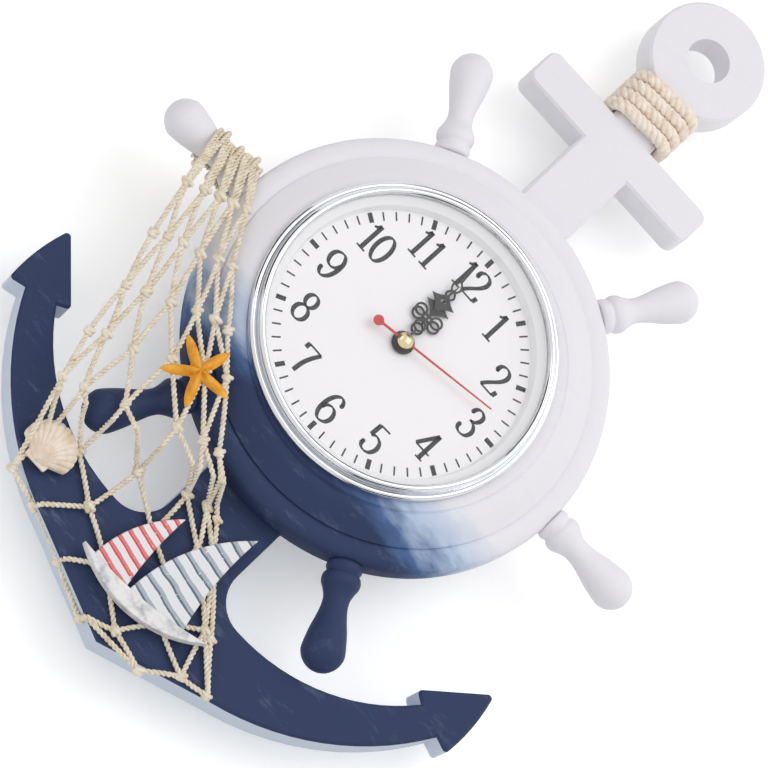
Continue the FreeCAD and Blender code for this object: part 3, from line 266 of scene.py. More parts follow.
def twisted(path, radius, strands, pitch, sides, step):
    """Strands wound about one line and pressed together a little."""
    path = resampled(path, step)
    first, second = frames_along(path)
    gaps = np.linalg.norm(np.diff(path, axis=0), axis=1)
    along = np.concatenate([[0], np.cumsum(gaps)])
    share = math.sin(math.pi / strands)
    thin = radius * share / (1 + share)
    made = []
    for strand in range(strands):
        turn = 2 * math.pi * (along / pitch + strand / strands)
        offset = (np.cos(turn)[:, None] * first + np.sin(turn)[:, None] * second) * (radius - thin)
        made.append(tube(path + offset, thin * STRAND_SWELL, sides))
    return gathered(made)


print("cord helpers ready")

# %% [markdown]
# ## Turned pieces
# The Screw modifier turns a profile too. Making the faces here keeps the seam closed, and the
# same profile can be read by other pieces.

# %% Lathe work
def lathe(name, profile, segments, material, axis_x=0.0):
    """Turned about a line along Y: the profile is a closed ring of (radius, height)."""
    points, faces = [], []
    count = len(profile)
    for i in range(segments):
        turn = 2 * math.pi * i / segments
        for radius, height in profile:
            points.append(at(axis_x + radius * math.cos(turn), radius * math.sin(turn), height))
    for i in range(segments):
        k = (i + 1) % segments
        for j in range(count):
            m = (j + 1) % count
            faces.append((i * count + j, i * count + m, k * count + m, k * count + j))
    return outward(make_mesh(name, points, faces, material))


print("lathe ready")

# %% [markdown]
# ## Materials
# Every finish is made from nodes, so it has no seams and needs no picture. A colour is a web
# colour, as a paint chart gives it, and a pattern's size is in millimetres.

# %% Colours and a material builder
def colour(web):
    """Web colour as the linear values that the shader works with."""
    out = []
    for i in (1, 3, 5):
        v = int(web[i:i + 2], 16) / 255
        out.append(v / 12.92 if v <= 0.04045 else ((v + 0.055) / 1.055) ** 2.4)
    return (*out, 1.0)


def new_material(name, web, roughness, metallic=0.0):
    """Material with one shader, its node tree and the shader itself."""
    material = bpy.data.materials.new(name)
    material.use_nodes = True
    shader = material.node_tree.nodes["Principled BSDF"]
    shader.inputs["Base Color"].default_value = colour(web)
    shader.inputs["Roughness"].default_value = roughness
    shader.inputs["Metallic"].default_value = metallic
    return material, material.node_tree, shader


print("white is", [round(value, 2) for value in colour("#ffffff")])

# %% [markdown]
# ## Patterns
# Grain, fibres and worn spots are all noise. It is read at the object's own coordinates, so that
# it stays on the piece when the piece turns.

# %% Noise, ramp and bump
def place_node(tree):
    """Place on the piece, in metres."""
    return tree.nodes.new("ShaderNodeTexCoord").outputs["Object"]


def noise(tree, vector, size_mm, detail=4.0, rough=0.55, stretch=None):
    """Noise whose features are about size_mm wide."""
    if stretch:
        mapping = tree.nodes.new("ShaderNodeMapping")
        mapping.inputs["Scale"].default_value = stretch
        tree.links.new(vector, mapping.inputs["Vector"])
        vector = mapping.outputs["Vector"]
    node = tree.nodes.new("ShaderNodeTexNoise")
    node.inputs["Scale"].default_value = 1 / (size_mm * MM)
    node.inputs["Detail"].default_value = detail
    node.inputs["Roughness"].default_value = rough
    tree.links.new(vector, node.inputs["Vector"])
    return node.outputs["Fac"]


def ramp(tree, value, stops):
    """Colour for a value, from stops that each hold a value and a web colour."""
    node = tree.nodes.new("ShaderNodeValToRGB")
    elements = node.color_ramp.elements
    while len(elements) < len(stops):
        elements.new(0.5)
    for element, (where, web) in zip(elements, stops):
        element.position = where
        element.color = colour(web)
    tree.links.new(value, node.inputs["Fac"])
    return node.outputs["Color"]


def bump(tree, shader, value, depth_mm, strength):
    """Let a pattern dent the surface by up to depth_mm."""
    node = tree.nodes.new("ShaderNodeBump")
    node.inputs["Distance"].default_value = depth_mm * MM
    node.inputs["Strength"].default_value = strength
    tree.links.new(value, node.inputs["Height"])
    tree.links.new(node.outputs["Normal"], shader.inputs["Normal"])


print("pattern helpers ready")

# %% [markdown]
# ## Sums in a node tree
# A sum of two sockets takes four lines each time. These helpers take a socket or a plain value,
# and the trees below read like formulas.

# %% Sums and mixes
def maths(tree, kind, one, two=0.0, clamp=False):
    """Result of one sum on sockets or plain values."""
    node = tree.nodes.new("ShaderNodeMath")
    node.operation = kind
    node.use_clamp = clamp
    for socket, value in zip(node.inputs, (one, two)):
        if isinstance(value, (int, float)):
            socket.default_value = value
        else:
            tree.links.new(value, socket)
    return node.outputs[0]


def mixed(tree, share, one, two):
    """Blend of two colours, each a web colour or a socket."""
    node = tree.nodes.new("ShaderNodeMix")
    node.data_type = "RGBA"
    tree.links.new(share, node.inputs["Factor"])
    for socket, value in ((node.inputs["A"], one), (node.inputs["B"], two)):
        if isinstance(value, str):
            socket.default_value = colour(value)
        else:
            tree.links.new(value, socket)
    return node.outputs["Result"]


print("sum helpers ready")

# %% [markdown]
# ## Painted wood
# The board and the wheel are dry-brushed: white at the top, navy at the foot, with pale blue
# streaks between. A picture could give that, but a ramp over the height does too. Noise moves
# its level, so the change is ragged, as a brush leaves it.

# %% Fading paint
WHITE = "#e9e7ec"
NAVY = "#303d5f"
PAINT_SHINE = 0.2
# Level at which white and navy meet, how tall the change is, and how far streaks move it
FADE_HEIGHT = -46.0
FADE_TALL = 44.0
STREAK_REACH = 26.0


def fading_paint(name, white, pale, mid, navy, shift=0.0):
    """Paint that goes from white above to navy below. A shift lowers the change."""
    material, tree, shader = new_material(name, white, 0.62)
    shader.inputs["Specular IOR Level"].default_value = PAINT_SHINE
    place = place_node(tree)
    split = tree.nodes.new("ShaderNodeSeparateXYZ")
    tree.links.new(place, split.inputs[0])
    level = maths(tree, "MULTIPLY", split.outputs["Z"], 1 / MM)
    level = maths(tree, "ADD", level, shift - FADE_HEIGHT)
    streak = noise(tree, place, 15.0, 5.0, 0.6, stretch=(0.5, 1.0, 1.6))
    wobble = maths(tree, "MULTIPLY", maths(tree, "SUBTRACT", streak, 0.5), STREAK_REACH)
    level = maths(tree, "ADD", level, wobble)
    share = maths(tree, "ADD", maths(tree, "DIVIDE", level, FADE_TALL), 0.5, clamp=True)
    body = ramp(tree, share, [(0.0, navy), (0.3, navy), (0.48, mid), (0.68, pale), (1.0, white)])
    fine = noise(tree, place, 5.0, 6.0, 0.7, stretch=(0.35, 1.0, 1.4))
    light = maths(tree, "MULTIPLY", maths(tree, "SUBTRACT", fine, 0.56), 0.7, clamp=True)
    tree.links.new(mixed(tree, light, body, pale), shader.inputs["Base Color"])
    bump(tree, shader, noise(tree, place, 1.6, 6.0, 0.65, stretch=(0.4, 1.0, 1.3)), 0.10, 0.7)
    return material


board_front = fading_paint("painted_wood_front", WHITE, "#bcc9de", "#5b7099", NAVY)
board_side = fading_paint("painted_wood_side", "#f0eff3", "#e9ecf2", "#d8dfe9", "#c6d0de", 4.0)
rim_paint = fading_paint("painted_wheel", WHITE, "#b9c8e0", "#4c6794", NAVY)
print("fading paints", board_front.name, board_side.name, rim_paint.name)

# %% [markdown]
# ## Paint of one colour
# The handles are dipped in one colour each. Even so a flat colour looks like plastic, so faint
# brush marks and a low bump go over it.

# %% Brushed paint
def brushed_paint(name, base, light):
    """One colour with lighter brush marks."""
    material, tree, shader = new_material(name, base, 0.55)
    shader.inputs["Specular IOR Level"].default_value = PAINT_SHINE
    place = place_node(tree)
    fine = noise(tree, place, 6.0, 6.0, 0.7)
    share = maths(tree, "MULTIPLY", maths(tree, "SUBTRACT", fine, 0.55), 0.8, clamp=True)
    tree.links.new(mixed(tree, share, base, light), shader.inputs["Base Color"])
    bump(tree, shader, noise(tree, place, 1.5, 5.0, 0.6), 0.08, 0.6)
    return material


white_paint = brushed_paint("white_painted_wood", WHITE, "#dcdce6")
navy_paint = brushed_paint("navy_painted_wood", NAVY, "#6d82a8")
print("paints", white_paint.name, navy_paint.name)

# %% [markdown]
# ## Cotton, starfish and shell
# Cotton is matt, with fibres a third of a millimetre wide. The starfish and the shell are cast and
# grainy. All three get their patches of lighter and darker colour from one ramp.

# %% Cotton and grainy finishes
def patchy(tree, shader, place, size_mm, stops):
    """Colour the surface in soft patches."""
    patch = noise(tree, place, size_mm, 4.0, 0.6)
    tree.links.new(ramp(tree, patch, stops), shader.inputs["Base Color"])


def fibre(name, base, dark, light):
    """Matt cotton with a fine, deep bump."""
    material, tree, shader = new_material(name, base, 0.85)
    place = place_node(tree)
    patchy(tree, shader, place, 3.0, [(0.3, dark), (0.5, base), (0.72, light)])
    bump(tree, shader, noise(tree, place, 0.35, 4.0, 0.7), 0.12, 0.9)
    return material


twine = fibre("cotton_twine", "#ebe0cc", "#d8c8ab", "#f6efe1")
rope = fibre("cotton_rope", "#f5e7d9", "#e2d0bc", "#fbf4ea")


def grainy(name, base, dark, light, size=1.0, depth=0.25, rough=0.6):
    """Cast or sanded surface. A larger size makes its patches and grain wider."""
    material, tree, shader = new_material(name, base, rough)
    place = place_node(tree)
    patchy(tree, shader, place, 4.0 * size, [(0.3, dark), (0.5, base), (0.75, light)])
    bump(tree, shader, noise(tree, place, 0.8 * size, 3.0, 0.6), depth, 0.8)
    return material


starfish_paint = grainy("painted_starfish", "#f0a528", "#d88a16", "#fac04c")
shell_paint = grainy("scallop_shell_resin", "#ecdccb", "#dcc5ac", "#f7ede0", 1.5, 0.08, 0.5)
print("cotton and cast finishes", twine.name, rope.name, starfish_paint.name, shell_paint.name)

# %% [markdown]
# ## Metals and plastics
# Chrome is almost a mirror, and steel and nickel are duller. Inside, gears are white acetal and
# the case is black plastic. Such smooth factory parts need no pattern.

# %% Plain materials
def plain(name, web, roughness, metallic=0.0):
    """One even colour."""
    return new_material(name, web, roughness, metallic)[0]


chrome = plain("chrome_plate", "#e6e7ea", 0.06, 1.0)
cup_steel = plain("pressed_steel", "#b9bbbf", 0.3, 1.0)
nickel = plain("nickel_plate", "#c9c6c0", 0.25, 1.0)
brass = plain("polished_brass", "#e6d3a3", 0.2, 1.0)
black_hand = plain("black_enamel", "#060607", 0.42)
red_hand = plain("red_enamel", "#c20f18", 0.4)
white_ring = plain("white_plastic", "#f2f2f4", 0.35)
black_plastic = plain("black_plastic", "#16171a", 0.5)
acetal = plain("white_acetal", "#e9e6dc", 0.45)
copper = plain("enamelled_copper_wire", "#b8642f", 0.35, 0.6)
laminate = plain("green_laminate", "#27603a", 0.5)
sintered = plain("sintered_magnet", "#3a3b40", 0.45, 0.8)
sleeve = plain("cell_sleeve", "#c4b48f", 0.35, 0.3)
ink = plain("printing_ink", "#1b1b1f", 0.6)
print("plain materials, from", chrome.name, "to", ink.name)

# %% [markdown]
# ## Card and glass
# The dial is card with a faint tooth. The lens is a thin flat sheet, through which things are
# seen in their place. So it is mostly transparent with a faint shine, and nothing is bent by it.

# %% Card and glass
GLASS_SHINE = 0.015


def printed_card():
    """White card with a faint tooth."""
    material, tree, shader = new_material("dial_card", "#f2f0f3", 0.6)
    bump(tree, shader, noise(tree, place_node(tree), 1.2, 3.0, 0.6), 0.01, 0.4)
    return material


def clear_glass():
    """Thin clear sheet: mostly let through, with a faint shine."""
    material = bpy.data.materials.new("clear_glass")
    material.use_nodes = True
    tree = material.node_tree
    tree.nodes.remove(tree.nodes["Principled BSDF"])
    through = tree.nodes.new("ShaderNodeBsdfTransparent")
    through.inputs["Color"].default_value = colour("#ffffff")
    shine = tree.nodes.new("ShaderNodeBsdfGlossy")
    shine.inputs["Roughness"].default_value = 0.03
    mix = tree.nodes.new("ShaderNodeMixShader")
    mix.inputs["Fac"].default_value = GLASS_SHINE
    tree.links.new(through.outputs[0], mix.inputs[1])
    tree.links.new(shine.outputs[0], mix.inputs[2])
    tree.links.new(mix.outputs[0], tree.nodes["Material Output"].inputs["Surface"])
    return material


card = printed_card()
glass = clear_glass()
print("materials", len(bpy.data.materials))

# %% [markdown]
# ## Anchor board
# The real one is sawn from one thick board, and only its front is painted dark. The built outline
# is right already, so a copy keeps it, and each face takes the paint of the way that it looks.

# %% Dress the anchor board
board = merged_copy("anchor_board", "anchor_board_painted", board_front, 25)
board.data.materials.append(board_side)
for polygon in board.data.polygons:
    looks_forward = polygon.normal.y < -0.5
    polygon.material_index = 0 if looks_forward else 1
stands_for(board, "clock", "anchor_board")
print("board faces", len(board.data.polygons))

# %% [markdown]
# ## Rim of the ship's wheel
# The rim is a turned moulding: a flat outer band with a soft crown, a step, a dome and a fine
# groove. It is turned from one profile, with curves through a few measured points.

# %% Turn the rim
RIM_BORE = 52.5
RIM_STEP = 68.4
DOME_MARKS = [(58.0, 28.25), (61.0, 27.6), (63.6, 26.4), (66.2, 25.1), (RIM_STEP, 24.0)]
CROWN_MARKS = [
    (RIM_STEP, 23.2), (70.0, 23.5), (72.0, 23.55), (74.2, 23.0), (75.8, 21.9), (WHEEL_RADIUS, 20.2),
]
rim_profile = [(RIM_BORE, BOARD_THICK), (RIM_BORE, RIM_FRONT), (56.6, RIM_FRONT), (57.3, 27.9)]
for marks in (DOME_MARKS, CROWN_MARKS):
    rim_profile += [tuple(p) for p in curve_through(marks, 5)]
rim_profile += [(WHEEL_RADIUS, BOARD_THICK)]
rim = lathe("wheel_rim_turned", rim_profile, 240, rim_paint)
smooth_by_angle(rim, 35)
stands_for(rim, "clock", "wheel_rim")
print("rim faces", len(rim.data.polygons))

# %% [markdown]
# ## Handles
# Each handle is turned on a lathe: a ring, a groove, a collar, a thin neck and a swelling grip.
# One function turns the same outline about each hour's direction, so all six agree.

# %% Turn the handles
# Radius of the handle, and how far out from the rim
HANDLE_MARKS = [
    (5.3, -0.2), (5.9, 0.4), (6.25, 1.9), (5.75, 3.2), (5.7, 3.7), (6.4, 4.6), (6.75, 5.9),
    (6.6, 7.6), (5.6, 9.6), (4.75, 11.8), (4.5, 13.6), (4.65, 16.2), (5.5, 20.2), (6.6, 24.6),
]


def handle(hour):
    """Turned about the hour's direction, from the rim to a round end."""
    outline = [(r, WHEEL_RADIUS + rise) for r, rise in HANDLE_MARKS]
    centre = HANDLE_TIP - BULB_RADIUS
    for turn in (0, 20, 40, 60, 75, 86):
        angle = math.radians(turn)
        outline.append((BULB_RADIUS * math.cos(angle), centre + BULB_RADIUS * math.sin(angle)))
    profile = curve_through(outline, 4)
    direction = math.radians(30 * hour)
    out = np.array([math.sin(direction), 0, math.cos(direction)])
    side = np.array([math.cos(direction), 0, -math.sin(direction)])
    front = np.array([0, -1, 0])
    sides = 48
    points, faces = [], []
    for radius, length in profile:
        for k in range(sides):
            turn = 2 * math.pi * k / sides
            height = HANDLE_HEIGHT + radius * math.sin(turn)
            p = out * length + side * radius * math.cos(turn) + front * height
            points.append(p * MM)
    for i in range(len(profile) - 1):
        for k in range(sides):
            m = (k + 1) % sides
            faces.append((i * sides + k, i * sides + m, (i + 1) * sides + m, (i + 1) * sides + k))
    faces.append(tuple(range(sides)))
    last = (len(profile) - 1) * sides
    faces.append(tuple(last + k for k in range(sides)))
    paint = navy_paint if hour in (5, 7) else white_paint
    item = outward(make_mesh(f"handle_turned_{hour}", points, faces, paint))
    smooth_by_angle(item, 40)
    return stands_for(item, "clock", f"handle_at_{hour}")


handles = [handle(hour) for hour in HOURS_WITH_HANDLES]
print("handles", len(handles))

# %% [markdown]
# ## Rope on the neck
# A three-strand rope winds round the flat neck, four turns showing in front. Rings would be
# simpler, but a real winding climbs as it goes round. So its line is walked: straight along a
# side, round a corner, and on, rising by one rope's width in each lap.

# %% Walk the winding
NECK_HALF_WIDE = 9.8
ROPE_OFF_NECK = 2.65
ROPE_CORNER = 5.25
ROPE_FOOT = 128.0
ROPE_SWELL = 0.1
ROPE_HALF_LAPS = 7
QUARTER = math.pi / 2


def winding():
    """Centre line of the winding: a rising path round a rectangle with round corners."""
    half_wide = NECK_HALF_WIDE + ROPE_OFF_NECK
    half_deep = BOARD_THICK / 2 + ROPE_OFF_NECK
    corner = ROPE_CORNER
    lap = 4 * (half_wide + half_deep - 2 * corner) + 2 * math.pi * corner
    deep_run, wide_run = 2 * (half_deep - corner), 2 * (half_wide - corner)
    foot = ROPE_FOOT + ROPE_RADIUS + ROPE_SWELL
    points = []
    gone = 0.0
    x, y = -half_wide, half_deep - corner
    heading = -QUARTER
    for run in [deep_run, None, wide_run, None] * ROPE_HALF_LAPS + [deep_run]:
        turning = run is None
        length = QUARTER * corner if turning else run
        middle = (x - corner * math.sin(heading), y + corner * math.cos(heading))
        for share in np.linspace(0, 1, 9 if turning else 6):
            if turning:
                turn = heading + share * QUARTER
                spot = (middle[0] + corner * math.sin(turn), middle[1] - corner * math.cos(turn))
            else:
                spot = (x + run * share * math.cos(heading), y + run * share * math.sin(heading))
            points.append((*spot, foot + ROPE_PITCH * (gone + share * length) / lap))
        heading += QUARTER if turning else 0.0
        gone += length
        x, y = points[-1][:2]
    path = np.array(points)
    path[:, 1] -= BOARD_THICK / 2
    gaps = np.linalg.norm(np.diff(path, axis=0), axis=1)
    return path[np.concatenate([[True], gaps > 1e-6])] * MM


route = winding()
print("winding samples", len(route))

# %% Lay the rope along it
ROPE_TWIST = 7.5
points, faces = twisted(route, (ROPE_RADIUS + ROPE_SWELL) * MM, 3, ROPE_TWIST * MM, 10, 0.7 * MM)
neck_rope = outward(make_mesh("neck_rope_laid", points, faces, rope))
stands_for(neck_rope, "clock", "neck_rope")
print("rope faces", len(faces))

# %% [markdown]
# ## Clock insert
# The clock drops into the board as one insert. Its chrome bezel has a low outer bead and a high
# inner one, a white ring slopes down inside it to the dial, and a clear glass covers both. All
# are round, so each is turned, and the beads are true arcs, for a mirror shows every flat.

# %% Turn the bezel, the ring and the glass
def arc_points(centre, radius, start, end, steps):
    """Points along an arc, between two turns in degrees."""
    turns = np.radians(np.linspace(start, end, steps))
    return [(centre[0] + radius * math.cos(t), centre[1] + radius * math.sin(t)) for t in turns]


bezel_profile = [(55.6, 28.75)]
bezel_profile += arc_points((54.4, 30.3), 1.2, 0, 165, 9)
bezel_profile += [(53.2, 30.75), (53.15, 31.1)]
bezel_profile += arc_points((51.9, 33.0), 1.3, -5, 180, 12)
bezel_profile += [(50.6, 32.85), (52.1, 32.8), (52.1, 29.3), (55.1, 29.3), (55.1, 28.75)]
bezel = lathe("bezel_chromed", bezel_profile, 256, chrome, INSERT_X)
smooth_by_angle(bezel, 40)
stands_for(bezel, "clock", "bezel")

ring_profile = [
    (47.0, 25.95), (47.8, 29.3), (50.6, 31.38), (52.0, 31.38),
    (52.0, 30.8), (48.4, 29.3), (47.6, 25.95),
]
ring = lathe("reflector_ring_white", ring_profile, 200, white_ring, INSERT_X)
smooth_by_angle(ring, 25)
stands_for(ring, "clock", "reflector_ring")

GLASS_RADIUS = -box_mm("lens")[LOW][Z]
GLASS_FRONT = box_mm("lens")[HIGH][HEIGHT]
GLASS_BACK = 31.55
glass_profile = [
    (0.01, GLASS_BACK), (GLASS_RADIUS, GLASS_BACK), (GLASS_RADIUS, GLASS_FRONT), (0.01, GLASS_FRONT),
]
lens = lathe("glass_clear", glass_profile, 160, glass, INSERT_X)
smooth_by_angle(lens, 30)
stands_for(lens, "clock", "lens")
print("insert pieces", bezel.name, ring.name, lens.name)

# %% [markdown]
# ## Pen for the dial print
# The numerals are in an old book style: upright strokes are thick, level strokes are thin, and
# loose ends have small balls. A font on the computer could stand in, but it must be there on
# every computer. So a broad pen is drawn along each stroke instead.

# %% Cut the pen
PRINT_HEIGHT = DIAL_HEIGHT + 0.02
PRINT_TURN = math.radians(-1.05)
# Pen widths, as shares of a numeral's height
PEN_THIN = 0.058
PEN_THICK = 0.14
PEN_BALL = 0.07


def printed(x, z):
    """Place on the dial, from its middle, with the print's own small turn."""
    c, s = math.cos(PRINT_TURN), math.sin(PRINT_TURN)
    return at(INSERT_X + x * c - z * s, x * s + z * c, PRINT_HEIGHT)


def ribbon(line, thin, thick):
    """Flat stroke along a line, thick where it runs upright."""
    line = np.asarray(line, float)
    along = np.gradient(line, axis=0)
    along /= np.linalg.norm(along, axis=1)[:, None] + 1e-9
    width = thin + (thick - thin) * np.abs(along[:, 1]) ** 1.5
    side = np.stack([-along[:, 1], along[:, 0]], 1) * width[:, None] / 2
    points = np.concatenate([line + side, line - side])
    n = len(line)
    return points, [(i, i + 1, n + i + 1, n + i) for i in range(n - 1)]


def disc(x, z, radius, sides=20):
    """Ball at a loose end."""
    turns = np.arange(sides) * 2 * math.pi / sides
    return np.stack([x + radius * np.cos(turns), z + radius * np.sin(turns)], 1), [tuple(range(sides))]


def oval(x, z, wide, tall):
    """Closed line for the round signs."""
    turns = np.linspace(0, 2 * math.pi, 49)
    return np.stack([x + wide * np.cos(turns), z + tall * np.sin(turns)], 1)


print("pen", PEN_THIN, "to", PEN_THICK)

# %% [markdown]
# ## Strokes of the numerals
# Each numeral stands in a box one unit tall. It has smooth strokes, straight strokes, balls at
# its loose ends, and ovals. A nine is a six that is turned upside down.

# %% List the strokes
SIX = [
    (0.49, 0.82), (0.42, 0.94), (0.30, 0.98), (0.15, 0.84), (0.07, 0.58), (0.07, 0.26), (0.17, 0.05),
    (0.31, 0.01), (0.47, 0.10), (0.53, 0.30), (0.46, 0.50), (0.31, 0.57), (0.15, 0.49), (0.08, 0.34),
]
BOWL = [(0.53, 0.30), (0.45, 0.09), (0.29, 0.01), (0.14, 0.05), (0.07, 0.18)]
# Each numeral: smooth strokes, straight strokes, balls and ovals
NUMERALS = {
    "0": ([], [], [], [(0.30, 0.50, 0.23, 0.47)]),
    "1": (
        [[(0.30, 0.97), (0.22, 0.86), (0.12, 0.81)]],
        [[(0.30, 0.02), (0.30, 0.98)], [(0.14, 0.02), (0.46, 0.02)]], [], [],
    ),
    "2": (
        [[
            (0.09, 0.72), (0.13, 0.90), (0.29, 0.98), (0.46, 0.90),
            (0.50, 0.72), (0.40, 0.50), (0.20, 0.26), (0.05, 0.04),
        ]],
        [[(0.05, 0.04), (0.53, 0.04)], [(0.53, 0.04), (0.57, 0.22)]], [(0.11, 0.74)], [],
    ),
    "3": (
        [
            [
                (0.10, 0.80), (0.18, 0.94), (0.31, 0.98), (0.45, 0.89),
                (0.46, 0.72), (0.37, 0.58), (0.22, 0.53),
            ],
            [
                (0.22, 0.53), (0.41, 0.48), (0.52, 0.30), (0.46, 0.09),
                (0.30, 0.01), (0.14, 0.05), (0.07, 0.18),
            ],
        ],
        [], [(0.11, 0.79), (0.09, 0.20)], [],
    ),
    "4": (
        [],
        [
            [(0.41, 0.02), (0.41, 0.98)], [(0.41, 0.97), (0.04, 0.30)],
            [(0.04, 0.30), (0.58, 0.30)], [(0.28, 0.02), (0.54, 0.02)],
        ],
        [], [],
    ),
    "5": (
        [[(0.12, 0.52), (0.28, 0.60), (0.47, 0.51)] + BOWL],
        [[(0.13, 0.94), (0.11, 0.52)], [(0.12, 0.94), (0.48, 0.96)]], [(0.09, 0.20)], [],
    ),
    "6": ([SIX], [], [(0.48, 0.80)], []),
    "7": (
        [[(0.54, 0.95), (0.40, 0.66), (0.31, 0.36), (0.28, 0.02)]],
        [[(0.06, 0.95), (0.55, 0.95)], [(0.06, 0.96), (0.05, 0.78)]], [], [],
    ),
    "8": ([], [], [], [(0.30, 0.75, 0.18, 0.22), (0.30, 0.27, 0.22, 0.25)]),
    "9": ([[(0.60 - x, 0.99 - z) for x, z in SIX]], [], [(0.12, 0.19)], []),
}


print("numerals", len(NUMERALS))

# %% [markdown]
# ## Marks and numbers on the dial
# Sixty marks ring the dial, the twelve hour marks thick, and the numbers stand upright inside
# them. The print is flat ink, so it is one flat mesh just above the card.

# %% Print the dial
NUMERAL_TALL = 11.8
NUMERAL_RADIUS = 35.6
# Corners of a square, in order
SQUARE = ((-1, -1), (1, -1), (1, 1), (-1, 1))
# Room for one sign, and from its edge to its middle, as shares of its height
SIGN_STEP = 0.47
SIGN_MIDDLE = 0.30
MARK_RADIUS = 44.7
# Length and width of the marks
HOUR_MARK = (3.6, 1.7)
MINUTE_MARK = (3.2, 0.6)


def numeral(text, x, z, tall):
    """Flat strokes of a number, middled on its place."""
    made = []
    start = -(len(text) - 1) * SIGN_STEP / 2 - SIGN_MIDDLE
    for index, sign in enumerate(text):
        smooth, straight, balls, ovals = NUMERALS[sign]
        parts = [ribbon(curve_through(s, 8), PEN_THIN, PEN_THICK) for s in smooth]
        parts += [ribbon(resampled(np.array(s, float), 0.1), PEN_THIN, PEN_THICK) for s in straight]
        parts += [ribbon(oval(*o), PEN_THIN, PEN_THICK) for o in ovals]
        parts += [disc(*ball, PEN_BALL) for ball in balls]
        points, faces = gathered(parts)
        points = points + [start + index * SIGN_STEP, -0.5]
        made.append((points * tall + [x, z], faces))
    return gathered(made)


def mark(turn, middle, length, width):
    """Small bar at a turn from 12, pointing at the middle."""
    c, s = math.cos(turn), math.sin(turn)
    corners = []
    for side, along in SQUARE:
        a, b = side * width / 2, middle + along * length / 2
        corners.append((a * c + b * s, -a * s + b * c))
    return np.array(corners), [(0, 1, 2, 3)]


flat = []
for minute in range(60):
    size = MINUTE_MARK if minute % 5 else HOUR_MARK
    flat.append(mark(2 * math.pi * minute / 60, MARK_RADIUS, *size))
for hour in range(1, 13):
    turn = 2 * math.pi * hour / 12
    x, z = NUMERAL_RADIUS * math.sin(turn), NUMERAL_RADIUS * math.cos(turn)
    flat.append(numeral(str(hour), x, z, NUMERAL_TALL))
flat_points, faces = gathered(flat)
print_mesh = make_mesh("dial_print", [printed(*p) for p in flat_points], faces, ink, smooth=False)
for polygon in print_mesh.data.polygons:
    if polygon.normal.y > 0:
        polygon.flip()
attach(print_mesh, "clock")
print("print faces", len(faces))

# %% [markdown]
# ## Hands and inner pieces
# The two hands are stamped and pierced with scrolls, and behind the dial sits the whole movement
# with its gears. Their form is built to the tooth already, so they are only given their finish:
# what shows in front as smoothed copies, and what is inside on the built meshes themselves.

# %% Dress the hands and the movement
LOOKS = [
    (card, "dial"),
    (cup_steel, "insert_cup"),
    (white_ring, "train_plate"),
    (black_plastic, "movement_case movement_cover setting_knob"),
    (sleeve, "battery"),
    (nickel, "contact_positive contact_negative quartz_crystal stator"),
    (laminate, "circuit_board"),
    (copper, "coil"),
    (sintered, "rotor_magnet"),
    (acetal, "rotor_pinion intermediate_wheel seconds_wheel third_wheel centre_wheel"),
    (acetal, "cannon_pinion motion_wheel hour_wheel"),
]
for material, names in LOOKS:
    for name in names.split():
        nodes[name].data.materials.clear()
        nodes[name].data.materials.append(material)
for name, body, material in (
    ("hour_hand", "hours", black_hand),
    ("minute_hand", "minutes", black_hand),
    ("second_hand", "seconds", red_hand),
    ("hand_cap", "seconds", brass),
):
    item = merged_copy(name, name + "_finished", material, 35)
    stands_for(item, body, name)
print("finishes inside", len(LOOKS))

# %% [markdown]
# ## Camera
# The photo is taken from below and a little to the left, with the clock turned in the picture.
# The place comes from lining up the six handles and the dial. A point seen in the picture can be
# traced back to a place on the clock, and the net's knots are laid out that way.

# %% Place the camera
PICTURE = 768
# Focal length in picture points, the camera's place, and the way out of its back
FOCAL_PIXELS = 4000.0
CAMERA_PLACE = Vector((-63.1, -1249.4, -570.8))
CAMERA_BACK = Vector((-0.0492, -0.9094, -0.4131)).normalized()
CAMERA_UP = CAMERA_BACK.cross(Vector((0.6717, -0.3362, 0.6601))).normalized()
CAMERA_RIGHT = CAMERA_UP.cross(CAMERA_BACK).normalized()

camera_data = bpy.data.cameras.new("camera")
camera_data.sensor_width = 36.0
camera_data.lens = camera_data.sensor_width * FOCAL_PIXELS / PICTURE
camera = bpy.data.objects.new("camera", camera_data)
turned_to = Matrix((CAMERA_RIGHT, CAMERA_UP, CAMERA_BACK)).transposed().to_4x4()
camera.matrix_world = Matrix.Translation(CAMERA_PLACE * MM) @ turned_to
bpy.context.scene.collection.objects.link(camera)
bpy.context.scene.camera = camera


def seen_at(across, down, height):
    """x and z of the point at a height that the photo shows at this place in the picture."""
    middle = PICTURE / 2
    ray = CAMERA_RIGHT * (across - middle) + CAMERA_UP * (middle - down) - CAMERA_BACK * FOCAL_PIXELS
    spot = CAMERA_PLACE + ray * ((-height - CAMERA_PLACE.y) / ray.y)
    return spot.x, spot.z


print("camera at", [round(v) for v in CAMERA_PLACE])

# %% [markdown]
# ## How high the net lies
# The net hangs from the handle at 9, lies over the wheel's edge and drops to the lower left arm.
# Cloth physics could drape it, but the knots would settle anywhere. So its height is a rule: one
# level over the wheel, another over the board, and a short slope between.

# %% Find the net's height
FALL_TURN = math.radians(19.0)
FALL_GAP = 4.7
FALL_RUN = 5.4
HANDLE_UNDER_NET = 7
bulb_turn = math.radians(30 * HANDLE_UNDER_NET)
bulb_out = HANDLE_TIP - BULB_RADIUS
# The slope starts just past the end of the handle at 7
FALL_START = (
    bulb_out * math.sin(bulb_turn) + math.sin(FALL_TURN) * FALL_GAP,
    bulb_out * math.cos(bulb_turn) - math.cos(FALL_TURN) * FALL_GAP,
)


